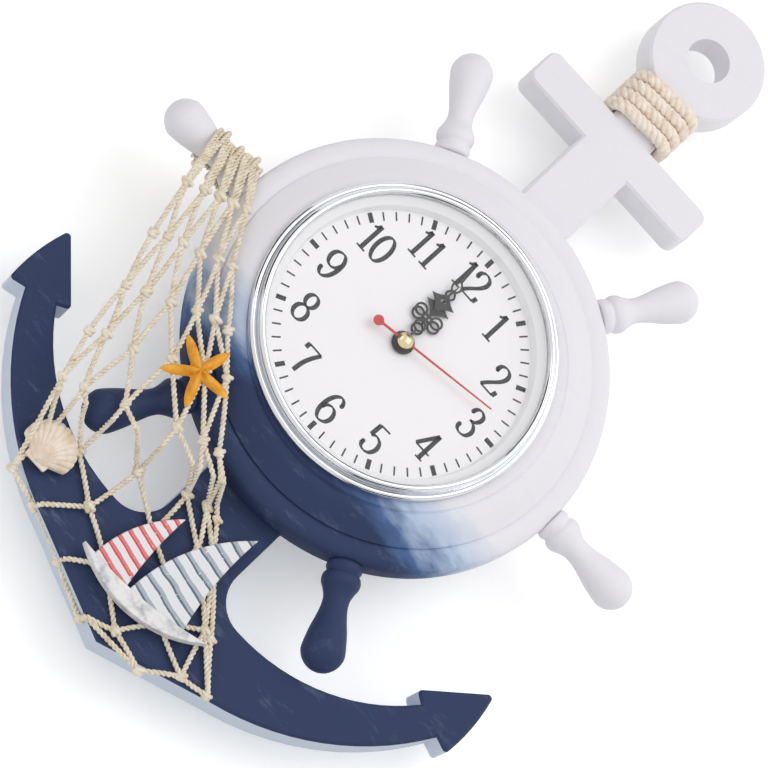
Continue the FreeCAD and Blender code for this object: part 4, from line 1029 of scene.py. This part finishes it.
def net_height(x, z):
    """Height of the net: over the wheel, down a short slope, then over the board."""
    run = (x - FALL_START[0]) * math.sin(FALL_TURN) - (z - FALL_START[1]) * math.cos(FALL_TURN)
    share = min(max(run / FALL_RUN, 0.0), 1.0)
    return NET_TOP_HEIGHT + (NET_LOW_HEIGHT - NET_TOP_HEIGHT) * share


print("net goes from", NET_TOP_HEIGHT, "down to", NET_LOW_HEIGHT, "mm")

# %% [markdown]
# ## Where the knots are
# A fishing net is uneven, and no formula gives its knots. They are read off the photo row by row
# from the handle down, and each is traced back onto the net's height.

# %% Place the knots
KNOTS_SEEN = {
    "a0": (187, 182), "a1": (205, 190), "a2": (220, 197), "a3": (233, 204), "a4": (247, 210),
    "b0": (153, 233), "b1": (168, 236), "b2": (183, 243),
    "b3": (200, 254), "b4": (218, 259), "b5": (232, 267),
    "c0": (126, 285), "c1": (146, 292), "c2": (171, 303),
    "c3": (197, 311), "c4": (215, 320), "c5": (228, 331),
    "d0": (89, 331), "d1": (107, 334), "d2": (133, 349),
    "d3": (172, 359), "d4": (205, 371), "d5": (227, 378),
    "e0": (62, 377), "e1": (84, 388), "e2": (125, 405),
    "e3": (177, 428), "e4": (203, 441), "e5": (219, 453),
    "f0": (12, 468), "f1": (45, 438), "f2": (79, 452), "f3": (138, 472),
    "f4": (187, 495), "f5": (207, 507), "f6": (217, 520),
    "g0": (34, 507), "g1": (89, 507), "g2": (152, 532), "g3": (198, 551), "g4": (213, 560),
    "h0": (58, 562), "h1": (106, 567), "h2": (175, 600), "h3": (205, 631), "h4": (211, 640),
    "i0": (79, 619), "i1": (115, 631), "i2": (160, 625),
    "j1": (138, 671), "j2": (181, 677), "j3": (206, 697),
}
# Knots that hang over the board's edge, with their heights
EDGE_HEIGHTS = {"f0": 12.0, "g0": 9.5, "h0": 8.5, "i0": 8.0, "j3": 12.5}
# Cords, each from knot to knot
LINKS = """
a0-b0 a0-b1 a1-b1 a1-b2 a2-b2 a2-b3 a3-b3 a3-b4 a4-b4 a4-b5
b0-c0 b1-c0 b1-c1 b2-c1 b2-c2 b3-c2 b3-c3 b4-c3 b4-c4 b5-c4 b5-c5
c0-d0 c0-d1 c1-d1 c1-d2 c2-d2 c2-d3 c3-d3 c3-d4 c4-d4 c4-d5 c5-d5
d0-e0 d1-e0 d1-e1 d2-e1 d2-e2 d3-e2 d3-e3 d4-e3 d4-e4 d5-e4 d5-e5
e0-f0 e0-f1 e1-f1 e1-f2 e2-f2 e2-f3 e3-f3 e3-f4 e4-f4 e4-f5 e5-f5 e5-f6
f0-g0 f1-f0 f2-g1 f3-g1 f3-g2 f4-g2 f4-g3 f5-g3 f5-g4 f6-g4
g0-g1 g0-h0 g1-h1 g2-h1 g2-h2 g3-h2 g3-h3 g4-h3 g4-h4
h0-h1 h0-i0 h1-i1 h2-i2 h3-i2 h3-j3 h4-j3 i0-i1 i2-i1 i1-j1 i2-j2 h3-j2 i0-j1 j1-j2 j2-j3
""".split()


def knot_place(name):
    """x, z and height of a knot. The net's height changes with the place, so it is closed in on."""
    height = EDGE_HEIGHTS.get(name, NET_TOP_HEIGHT)
    for _ in range(30):
        x, z = seen_at(*KNOTS_SEEN[name], height)
        if name in EDGE_HEIGHTS:
            break
        height += 0.3 * (net_height(x, z) - height)
    return Vector((x, z, height))


knots = {name: knot_place(name) for name in KNOTS_SEEN}
print("knots", len(knots), "links", len(LINKS))

# %% [markdown]
# ## Twisting the twine
# Where two cords cross they share a knot. Straight cords would look like wire, so each bows a
# little between its knots, and it is wound from two strands.

# %% Twist the cords
CORD_BOW = 0.45
CORD_LIFT = 0.25
CORD_STEP = 0.5
# The larger it is, the later a cord turns down over the board's edge
EDGE_POWER = 40


def twine_cord(path, radius=TWINE_RADIUS):
    """Two-strand twine along a line."""
    return twisted(path, radius * MM, 2, TWINE_PITCH * MM, 6, CORD_STEP * MM)


def net_cord(start, end):
    """Line between two knots, a little slack, at the net's height until it turns over the edge."""
    out = []
    bow = random.uniform(-CORD_BOW, CORD_BOW)
    across = Vector((-(end - start).y, (end - start).x, 0)).normalized()
    ends_low = [spot.z < NET_LOW_HEIGHT - 1 for spot in (start, end)]
    for share in np.linspace(0, 1, 33):
        spot = start.lerp(end, share)
        swing = 4 * share * (1 - share)
        spot += across * (bow * swing)
        height = max(net_height(spot.x, spot.y), spot.z)
        if all(ends_low):
            height = start.z + (end.z - start.z) * share
        elif any(ends_low):
            over = (share if ends_low[1] else 1 - share) ** EDGE_POWER
            height -= (height - min(start.z, end.z)) * over
        out.append(tuple(at(spot.x, spot.y, height + CORD_LIFT * swing)))
    return np.array(out)


cord_parts = []
for link in LINKS:
    first, last = (knots[name] for name in link.split("-"))
    cord_parts.append(twine_cord(net_cord(first, last)))
points, faces = gathered(cord_parts)
print("net cords", len(cord_parts), "faces", len(faces))
net = outward(make_mesh("net_cords", points, faces, twine))
stands_for(net, "clock", "fishing_net")

# %% [markdown]
# ## One knot
# At every crossing the twine is knotted: two wraps and a turn across them. At this size the
# strands don't show, so plain tubes do.

# %% Tie one knot
WRAP_WIDE, WRAP_HIGH, WRAP_LEAN = 1.15, 0.85, 0.25
TURN_ACROSS = [(-1.4, -0.3, -1.0), (-0.6, -1.25, -0.3), (0.6, -1.25, 0.3), (1.4, -0.3, 1.0)]


def knot_mesh():
    """Two wraps of twine round the crossing, and a turn across them."""
    turns = np.linspace(0, 2 * math.pi, 21)
    wide, high, lean = WRAP_WIDE * np.cos(turns), WRAP_HIGH * np.sin(turns), WRAP_LEAN * np.sin(turns)
    lines = [np.stack([wide, high, shift + lean], 1) for shift in (-0.75, 0.75)]
    lines.append(curve_through(TURN_ACROSS, 5))
    points, faces = gathered([tube(line * MM, 0.9 * TWINE_RADIUS * MM, 7) for line in lines])
    return outward(make_mesh("knot_once", points, faces, twine))


knot_once = knot_mesh()
print("knot faces", len(knot_once.data.polygons))

# %% [markdown]
# ## Knots at every crossing
# Some fifty knots that are all alike would look printed. Geometry nodes set a copy of the one
# knot at every crossing, and turn and size each a little differently, with a fixed seed.

# %% Build the tree that sets the knots
def add_input(group, kind, name, default):
    """Named input of a node tree."""
    group.interface.new_socket(name=name, in_out="INPUT", socket_type=kind).default_value = default


def knot_setter(source):
    """Node tree that sets a copy of the source at every point."""
    group = bpy.data.node_groups.new("set_knots", "GeometryNodeTree")
    group.interface.new_socket(name="Geometry", in_out="INPUT", socket_type="NodeSocketGeometry")
    add_input(group, "NodeSocketFloat", "Turn spread", 0.6)
    add_input(group, "NodeSocketFloat", "Size spread", 0.12)
    add_input(group, "NodeSocketInt", "Seed", 3)
    group.interface.new_socket(name="Geometry", in_out="OUTPUT", socket_type="NodeSocketGeometry")
    n, link = group.nodes, group.links.new
    entry, leave = n.new("NodeGroupInput").outputs, n.new("NodeGroupOutput")

    def random_between(low, high):
        node = n.new("FunctionNodeRandomValue")
        node.data_type = "FLOAT"
        least, most = [s for s in node.inputs if s.type == "VALUE" and s.enabled][:2]
        link(low, least)
        link(high, most)
        return node

    info = n.new("GeometryNodeObjectInfo")
    info.inputs["Object"].default_value = source
    set_all = n.new("GeometryNodeInstanceOnPoints")
    link(entry["Geometry"], set_all.inputs["Points"])
    link(info.outputs["Geometry"], set_all.inputs["Instance"])
    turn_spread, size_spread = entry["Turn spread"], entry["Size spread"]
    turn = random_between(maths(group, "MULTIPLY", turn_spread, -1.0), turn_spread)
    link(entry["Seed"], [s for s in turn.inputs if s.name == "Seed"][0])
    spin = n.new("ShaderNodeCombineXYZ")
    link([s for s in turn.outputs if s.enabled][0], spin.inputs["Y"])
    link(spin.outputs[0], set_all.inputs["Rotation"])
    least, most = maths(group, "SUBTRACT", 1.0, size_spread), maths(group, "ADD", 1.0, size_spread)
    size = random_between(least, most)
    link([s for s in size.outputs if s.enabled][0], set_all.inputs["Scale"])
    real = n.new("GeometryNodeRealizeInstances")
    link(set_all.outputs[0], real.inputs[0])
    paint = n.new("GeometryNodeSetMaterial")
    paint.inputs["Material"].default_value = twine
    link(real.outputs[0], paint.inputs[0])
    link(paint.outputs[0], leave.inputs[0])
    return group


knot_tree = knot_setter(knot_once)
print("nodes in the tree", len(knot_tree.nodes))

# %% Set the knots
def set_knots(name, places):
    """Run the tree on the places, and keep the result as a plain mesh."""
    seeds = make_mesh(name + "_places", places, [], twine)
    modifier = seeds.modifiers.new("set", "NODES")
    modifier.node_group = knot_tree
    graph = bpy.context.evaluated_depsgraph_get()
    mesh = bpy.data.meshes.new_from_object(seeds.evaluated_get(graph), depsgraph=graph)
    mesh.name = name
    item = bpy.data.objects.new(name, mesh)
    bpy.context.scene.collection.objects.link(item)
    for extra in (knot_once, seeds):
        bpy.data.objects.remove(extra)
    mesh.polygons.foreach_set("use_smooth", [True] * len(mesh.polygons))
    return item


KNOT_LIFT = 0.2
knot_places = [at(p.x, p.y, p.z + KNOT_LIFT) for p in knots.values()]
net_knots = set_knots("net_knots", knot_places)
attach(net_knots, "clock")
print("knots set", len(knot_places), "faces", len(net_knots.data.polygons))

# %% [markdown]
# ## Where the net is tied
# The net isn't nailed on: its top cords go over the handle at 9, and three loops of twine bind
# them. The cords could simply end inside the handle, but the tie is what catches the eye. So
# each cord starts behind the handle, runs over its top and comes down to its knot.

# %% Lead the cords over the handle at 9
# Turns about the handle that a cord passes, from behind to in front, in degrees from its top
TURNS_OVER = (-140, -90, -50, -20, 10, 40, 65)
TIE_LIFT = 1.5
LOOP_LEAN = 0.8


def handle_radius(x):
    """Radius of the handle at 9 at a place along it."""
    marks = [(WHEEL_RADIUS + rise, r) for r, rise in HANDLE_MARKS]
    return float(np.interp(-x, [m[0] for m in marks], [m[1] for m in marks]))


def over_handle(x, below):
    """A cord that starts behind the handle, goes over its top and runs down to a knot."""
    radius = handle_radius(x) + 1.3 * TWINE_RADIUS
    front = HANDLE_HEIGHT + radius + TIE_LIFT
    over = []
    for turn in np.radians(TURNS_OVER):
        over.append((x, radius * math.cos(turn), HANDLE_HEIGHT + radius * math.sin(turn)))
    for share in (0.25, 0.6):
        spot = Vector((x, 2.0, front)).lerp(below, share)
        over.append((spot.x, spot.y, max(spot.z, front)))
    over.append(tuple(below))
    return curve_through([at(*p) for p in over], 8)


def loop_round(x):
    """Loop of twine that binds the cords to the handle."""
    radius = handle_radius(x) + 3.1 * TWINE_RADIUS
    loop = []
    for turn in np.linspace(0, 2 * math.pi, 41):
        across, out = radius * math.cos(turn), radius * math.sin(turn)
        loop.append(tuple(at(x + LOOP_LEAN * math.sin(turn), across, HANDLE_HEIGHT + out)))
    return np.array(loop)


print("handle radius at the tie", round(handle_radius(-88.0), 2), "mm")

# %% Tie the net
TOP_KNOTS = ["a0", "a1", "a2", "a3", "a4"]
CORDS_PER_KNOT = 3
TIE_START = -97.0
TIE_WIDE = 19.0
LOOP_PLACES = (-94.6, -88.0, -81.5)
wraps = []
for index in range(len(TOP_KNOTS) * CORDS_PER_KNOT):
    share = index / (len(TOP_KNOTS) * CORDS_PER_KNOT - 1)
    aside = (index % CORDS_PER_KNOT - 1) * 0.7
    below = knots[TOP_KNOTS[index // CORDS_PER_KNOT]] + Vector((aside, 0, 0.4 * abs(aside)))
    x = TIE_START + TIE_WIDE * share + random.uniform(-0.15, 0.15)
    wraps.append(twine_cord(over_handle(x, below), TWINE_RADIUS * 0.9))
wraps += [twine_cord(loop_round(x)) for x in LOOP_PLACES]
points, faces = gathered(wraps)
wrap = outward(make_mesh("net_wrapping", points, faces, twine))
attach(wrap, "clock")
print("wraps", len(wraps), "faces", len(faces))

# %% [markdown]
# ## Starfish
# The starfish is cast and painted, with five tapering arms and a grainy skin. Sculpting would do,
# but its outline follows a rule: the reach is long at each arm's tip and short between two arms.
# Rings of that outline shrink as they climb, and make the domed back.

# %% Shape the starfish
STARFISH_PLACE = (-42.2, -63.8)
STARFISH_TURN = 79.0
# Reach between the arms, and what a round arm and a pointed tip add to it
ARM_ROOT, ARM_ROUND, ARM_POINT = 3.6, 4.9, 4.9
STARFISH_RISE = 3.7
SKIN_DEPTH = 0.16


def dome_mesh(name, rings, foot, material):
    """Closed form under rings of points that climb from a rim to a top."""
    count = len(rings[0])
    points = [tuple(p) for ring in rings for p in ring]
    faces = []
    for i in range(len(rings) - 1):
        for j in range(count):
            k = (j + 1) % count
            faces.append((i * count + j, i * count + k, (i + 1) * count + k, (i + 1) * count + j))
    last = (len(rings) - 1) * count
    faces.append(tuple(last + j for j in range(count)))
    base = len(points)
    points += [(p[0], -foot * MM, p[2]) for p in rings[0]]
    for j in range(count):
        k = (j + 1) % count
        faces.append((base + j, base + k, k, j))
    faces.append(tuple(base + j for j in range(count)))
    return outward(make_mesh(name, points, faces, material))


def starfish():
    """Five arms under a domed, grainy back."""
    rings = []
    steps, levels = 160, 15
    for level in range(levels):
        t = level / (levels - 1)
        share = 1 - t * 0.97
        lift = math.sin(t * math.pi / 2) ** 0.75
        ring = []
        for index in range(steps):
            along = abs(math.cos(math.pi * index * 5 / steps))
            pointed = abs(2 * (index * 5 / steps % 1) - 1)
            reach = share * (ARM_ROOT + ARM_ROUND * along ** 3.2 + ARM_POINT * pointed ** 2.2)
            turn = math.radians(STARFISH_TURN + 360 * index / steps)
            rise = STARFISH_RISE * lift * (1 - 0.5 * along * share)
            grain = SKIN_DEPTH * math.sin(index * 1.9 + level * 2.3) * math.sin(t * math.pi)
            x = STARFISH_PLACE[0] + reach * math.cos(turn)
            z = STARFISH_PLACE[1] + reach * math.sin(turn)
            ring.append(at(x, z, STARFISH_HEIGHT + rise + grain))
        rings.append(ring)
    item = dome_mesh("starfish_painted", rings, STARFISH_HEIGHT, starfish_paint)
    smooth_by_angle(item, 60)
    return stands_for(item, "clock", "starfish")


print("starfish faces", len(starfish().data.polygons))

# %% [markdown]
# ## Scallop shell
# The shell has thirteen rounded ribs that fan out from its hinge. They are real form, since they
# notch its rim, where a bump could not. Its points are laid out in rows from the hinge to the rim.

# %% Shape the shell
SHELL_HINGE = (middle_of("scallop_shell", X), box_mm("scallop_shell")[LOW][Z])
SHELL_RIBS = 13
SHELL_REACH = 16.0
SHELL_RISE = 5.4
SHELL_FAN = math.radians(64.0)
RIB_LENGTHENS = 0.3
RIB_HEIGHT = 0.5


def scallop():
    """Ribbed, domed fan on a flat foot."""
    steps, levels = 12 * SHELL_RIBS, 24
    points, faces = [], []
    for level in range(levels):
        share = 0.05 + 0.95 * level / (levels - 1)
        lift = max(math.sin(math.pi * (0.1 + 0.86 * share)), 0.0) ** 0.7
        for index in range(steps + 1):
            side = index / steps * 2 - 1
            rib = abs(math.sin(math.pi * index / steps * SHELL_RIBS)) ** 0.8 * share
            reach = share * (SHELL_REACH + RIB_LENGTHENS * rib) * (1 - 0.36 * side * side)
            dome = SHELL_RISE * lift * (1 - 0.75 * side * side)
            growth_ring = 0.12 * math.sin(level * 1.7)
            height = ORNAMENT_HEIGHT + 0.9 + dome + RIB_HEIGHT * rib + growth_ring
            x = SHELL_HINGE[0] + reach * math.sin(side * SHELL_FAN)
            z = SHELL_HINGE[1] + reach * math.cos(side * SHELL_FAN)
            points.append(at(x, z, height))
    wide = steps + 1
    top = len(points)
    points += [Vector((p.x, -ORNAMENT_HEIGHT * MM, p.z)) for p in points[:top]]
    for level in range(levels - 1):
        for index in range(steps):
            a = level * wide + index
            faces.append((a, a + 1, a + wide + 1, a + wide))
            faces.append((top + a + wide, top + a + wide + 1, top + a + 1, top + a))
    for index in range(steps):
        a, b = index, (levels - 1) * wide + index
        faces.append((a + 1, a, top + a, top + a + 1))
        faces.append((b, b + 1, top + b + 1, top + b))
    for level in range(levels - 1):
        a, b = level * wide, level * wide + steps
        faces.append((a, a + wide, top + a + wide, top + a))
        faces.append((b + wide, b, top + b, top + b + wide))
    body = outward(make_mesh("shell_moulded", points, faces, shell_paint))
    smooth_by_angle(body, 50)
    return stands_for(body, "clock", "scallop_shell")


print("shell faces", len(scallop().data.polygons))

# %% [markdown]
# ## Ears of the shell
# At its hinge the shell has two flat ears. They are a plate of their own with softened edges.

# %% Cut the ears
EARS_THICK = 1.7
# Corners of the plate, from the hinge
EARS_OUTLINE = [(-4.4, -0.2), (4.4, -0.2), (4.7, 3.4), (2.1, 4.8), (-2.1, 4.8), (-4.7, 3.4)]


def shell_ears():
    """Plate at the hinge."""
    count = len(EARS_OUTLINE)
    points = []
    for height in (ORNAMENT_HEIGHT, ORNAMENT_HEIGHT + EARS_THICK):
        points += [at(SHELL_HINGE[0] + x, SHELL_HINGE[1] + z, height) for x, z in EARS_OUTLINE]
    faces = [tuple(range(count)), tuple(range(count, 2 * count))]
    faces += [(i, (i + 1) % count, count + (i + 1) % count, count + i) for i in range(count)]
    item = outward(make_mesh("shell_ears", points, faces, shell_paint, smooth=False))
    modifier = item.modifiers.new("edge", "BEVEL")
    modifier.width = 0.5 * MM
    modifier.segments = 3
    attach(item, "clock")
    return item


print("ears", shell_ears().name)

# %% [markdown]
# ## Boat
# The boat is three thin pieces of painted wood. Its stripes are brushed on by hand, so they waver
# and the wood shows through. Each is cut from a repeating sum across the sail, with noise added
# to the line and worn spots taken out.

# %% Stripe the sails
# Whole number of stripes that keeps the sum above zero
KEEP_POSITIVE = 40.0


def striped(name, base, stripe, deep, direction, spacing_mm, share):
    """Painted wood with soft-edged stripes across one direction."""
    material, tree, shader = new_material(name, base, 0.6)
    place = place_node(tree)
    split = tree.nodes.new("ShaderNodeSeparateXYZ")
    tree.links.new(place, split.inputs[0])
    x = maths(tree, "MULTIPLY", split.outputs["X"], direction[0] / (spacing_mm * MM))
    z = maths(tree, "MULTIPLY", split.outputs["Z"], direction[1] / (spacing_mm * MM))
    line = maths(tree, "ADD", maths(tree, "ADD", x, z), KEEP_POSITIVE)
    # Noise makes the stripes waver by about a third of their spacing
    wave = maths(tree, "SUBTRACT", noise(tree, place, 9.0, 2.0, 0.5), 0.5)
    line = maths(tree, "ADD", line, maths(tree, "MULTIPLY", wave, 0.35))
    part = maths(tree, "FRACT", line)
    inside = maths(tree, "LESS_THAN", part, share)
    dark = maths(tree, "LESS_THAN", part, share * 0.35)
    patch = maths(tree, "GREATER_THAN", noise(tree, place, 1.3, 4.0, 0.7), 0.36)
    body = mixed(tree, maths(tree, "MULTIPLY", inside, patch), base, stripe)
    body = mixed(tree, maths(tree, "MULTIPLY", dark, patch), body, deep)
    tree.links.new(body, shader.inputs["Base Color"])
    bump(tree, shader, noise(tree, place, 1.2, 5.0, 0.6), 0.08, 0.7)
    return material


red_sail = striped("red_striped_sail", "#e6e4e5", "#e0787a", "#d2434a", (0.20, 0.98), 3.9, 0.42)
grey_sail = striped("grey_striped_sail", "#e3e4e7", "#a9b0b8", "#5d6876", (0.19, 0.98), 5.2, 0.40)
hull_wood = grainy("worn_white_hull", "#e4e2e2", "#a9adb4", "#f3f2f2", 1.2, 0.12, 0.6)
print("sails", red_sail.name, grey_sail.name)

# %% Paint the boat
BOAT = {"boat_hull": (hull_wood, 0.6), "fore_sail": (red_sail, 0.5), "main_sail": (grey_sail, 0.5)}
for name, (material, soft_edge) in BOAT.items():
    item = merged_copy(name, name + "_painted", material, bevel=soft_edge)
    stands_for(item, "clock", name)
print("boat pieces", len(BOAT))

# %% [markdown]
# ## Floor
# The photo's background is white. More light would bleach the clock too, so the floor itself is
# white and glows a little, but only where the camera, a mirror or a glass sees it. It still takes
# the clock's shadow. From behind it is clear, so that the back can be looked at.

# %% Lay the floor
FLOOR_LIFT = 0.22
FLOOR_HALF = 3.0
FLOOR_BEHIND = 0.012


def clear_where(tree, shader, share):
    """Let a surface be clear where share is 1."""
    clear = tree.nodes.new("ShaderNodeBsdfTransparent")
    mix = tree.nodes.new("ShaderNodeMixShader")
    tree.links.new(share, mix.inputs["Fac"])
    tree.links.new(shader.outputs[0], mix.inputs[1])
    tree.links.new(clear.outputs[0], mix.inputs[2])
    tree.links.new(mix.outputs[0], tree.nodes["Material Output"].inputs["Surface"])


def pale_floor():
    """White floor, brighter to the camera, in mirrors and through glass, and clear from behind."""
    material, tree, shader = new_material("pale_floor", "#ffffff", 0.9)
    path = tree.nodes.new("ShaderNodeLightPath")
    mirrored = maths(tree, "ADD", path.outputs["Is Glossy Ray"], path.outputs["Is Transmission Ray"])
    seen = maths(tree, "ADD", path.outputs["Is Camera Ray"], mirrored, clamp=True)
    lift = maths(tree, "MULTIPLY", seen, FLOOR_LIFT)
    shader.inputs["Emission Color"].default_value = colour("#ffffff")
    tree.links.new(lift, shader.inputs["Emission Strength"])
    clear_where(tree, shader, tree.nodes.new("ShaderNodeNewGeometry").outputs["Backfacing"])
    return material


corners = [(x * FLOOR_HALF, FLOOR_BEHIND, z * FLOOR_HALF) for x, z in SQUARE]
make_mesh("floor", corners, [(0, 1, 2, 3)], pale_floor(), smooth=False)
print("floor", 2 * FLOOR_HALF, "m wide")

# %% [markdown]
# ## Light
# The light is soft and nearly flat: a bright even world, a large lamp from the upper right and a
# weaker one from the left. At this level a colour is rendered about as it is written.

# %% Light the clock
WORLD_LEVEL = 0.86
LAMP_SIZE = 1.2
world = bpy.data.worlds.new("studio")
bpy.context.scene.world = world
world.use_nodes = True
background = world.node_tree.nodes["Background"]
background.inputs["Color"].default_value = colour("#ffffff")
background.inputs["Strength"].default_value = WORLD_LEVEL


def soft_light(name, x, z, height, watts):
    """Square lamp at a place in front of the clock, in metres, turned to its middle."""
    light = bpy.data.lights.new(name, "AREA")
    light.size = LAMP_SIZE
    light.energy = watts
    item = bpy.data.objects.new(name, light)
    place = Vector((x, -height, z))
    turn = (-place).to_track_quat("-Z", "Y").to_matrix().to_4x4()
    item.matrix_world = Matrix.Translation(place) @ turn
    bpy.context.scene.collection.objects.link(item)


soft_light("key", 0.5, 0.9, 1.5, 7.5)
soft_light("fill", -1.4, 0.2, 1.2, 3.5)
print("lamps", len(bpy.data.lights))

# %% [markdown]
# ## Something for the chrome to mirror
# Chrome in a white room looks like white plastic. A photographer sets up black cards beside such
# a thing, and their dark bands in the bezel show that it is metal. The camera looks through them.

# %% Set up the black cards
def dark_cloth():
    """Black cloth that the chrome mirrors and the camera looks through."""
    material, tree, shader = new_material("black_cloth", "#15161a", 0.8)
    clear_where(tree, shader, tree.nodes.new("ShaderNodeLightPath").outputs["Is Camera Ray"])
    return material


black_cloth = dark_cloth()


def dark_card(name, x, z, height, wide):
    """Dark square that faces the clock from outside the picture, in metres."""
    place = Vector((x, -height, z))
    turn = (-place).to_track_quat("Z", "Y").to_matrix()
    corners = [place + turn @ Vector((a * wide / 2, b * wide / 2, 0)) for a, b in SQUARE]
    make_mesh(name, corners, [(0, 1, 2, 3)], black_cloth, smooth=False)


CARDS = {
    "left": (-0.60, 0.10, 0.22, 0.50),
    "right": (0.50, -0.48, 0.20, 0.42),
    "top": (-0.10, 0.72, 0.20, 0.40),
}
for side, place in CARDS.items():
    dark_card("card_" + side, *place)
print("cards", len(CARDS))

# %% [markdown]
# ## Picture
# The picture is square, as the photo is, and its colours are shown as they are, with no film look.

# %% Set the picture
bpy.context.scene.view_settings.view_transform = "Standard"
bpy.context.scene.render.resolution_x = PICTURE
bpy.context.scene.render.resolution_y = PICTURE
print("picture", PICTURE, "points wide")
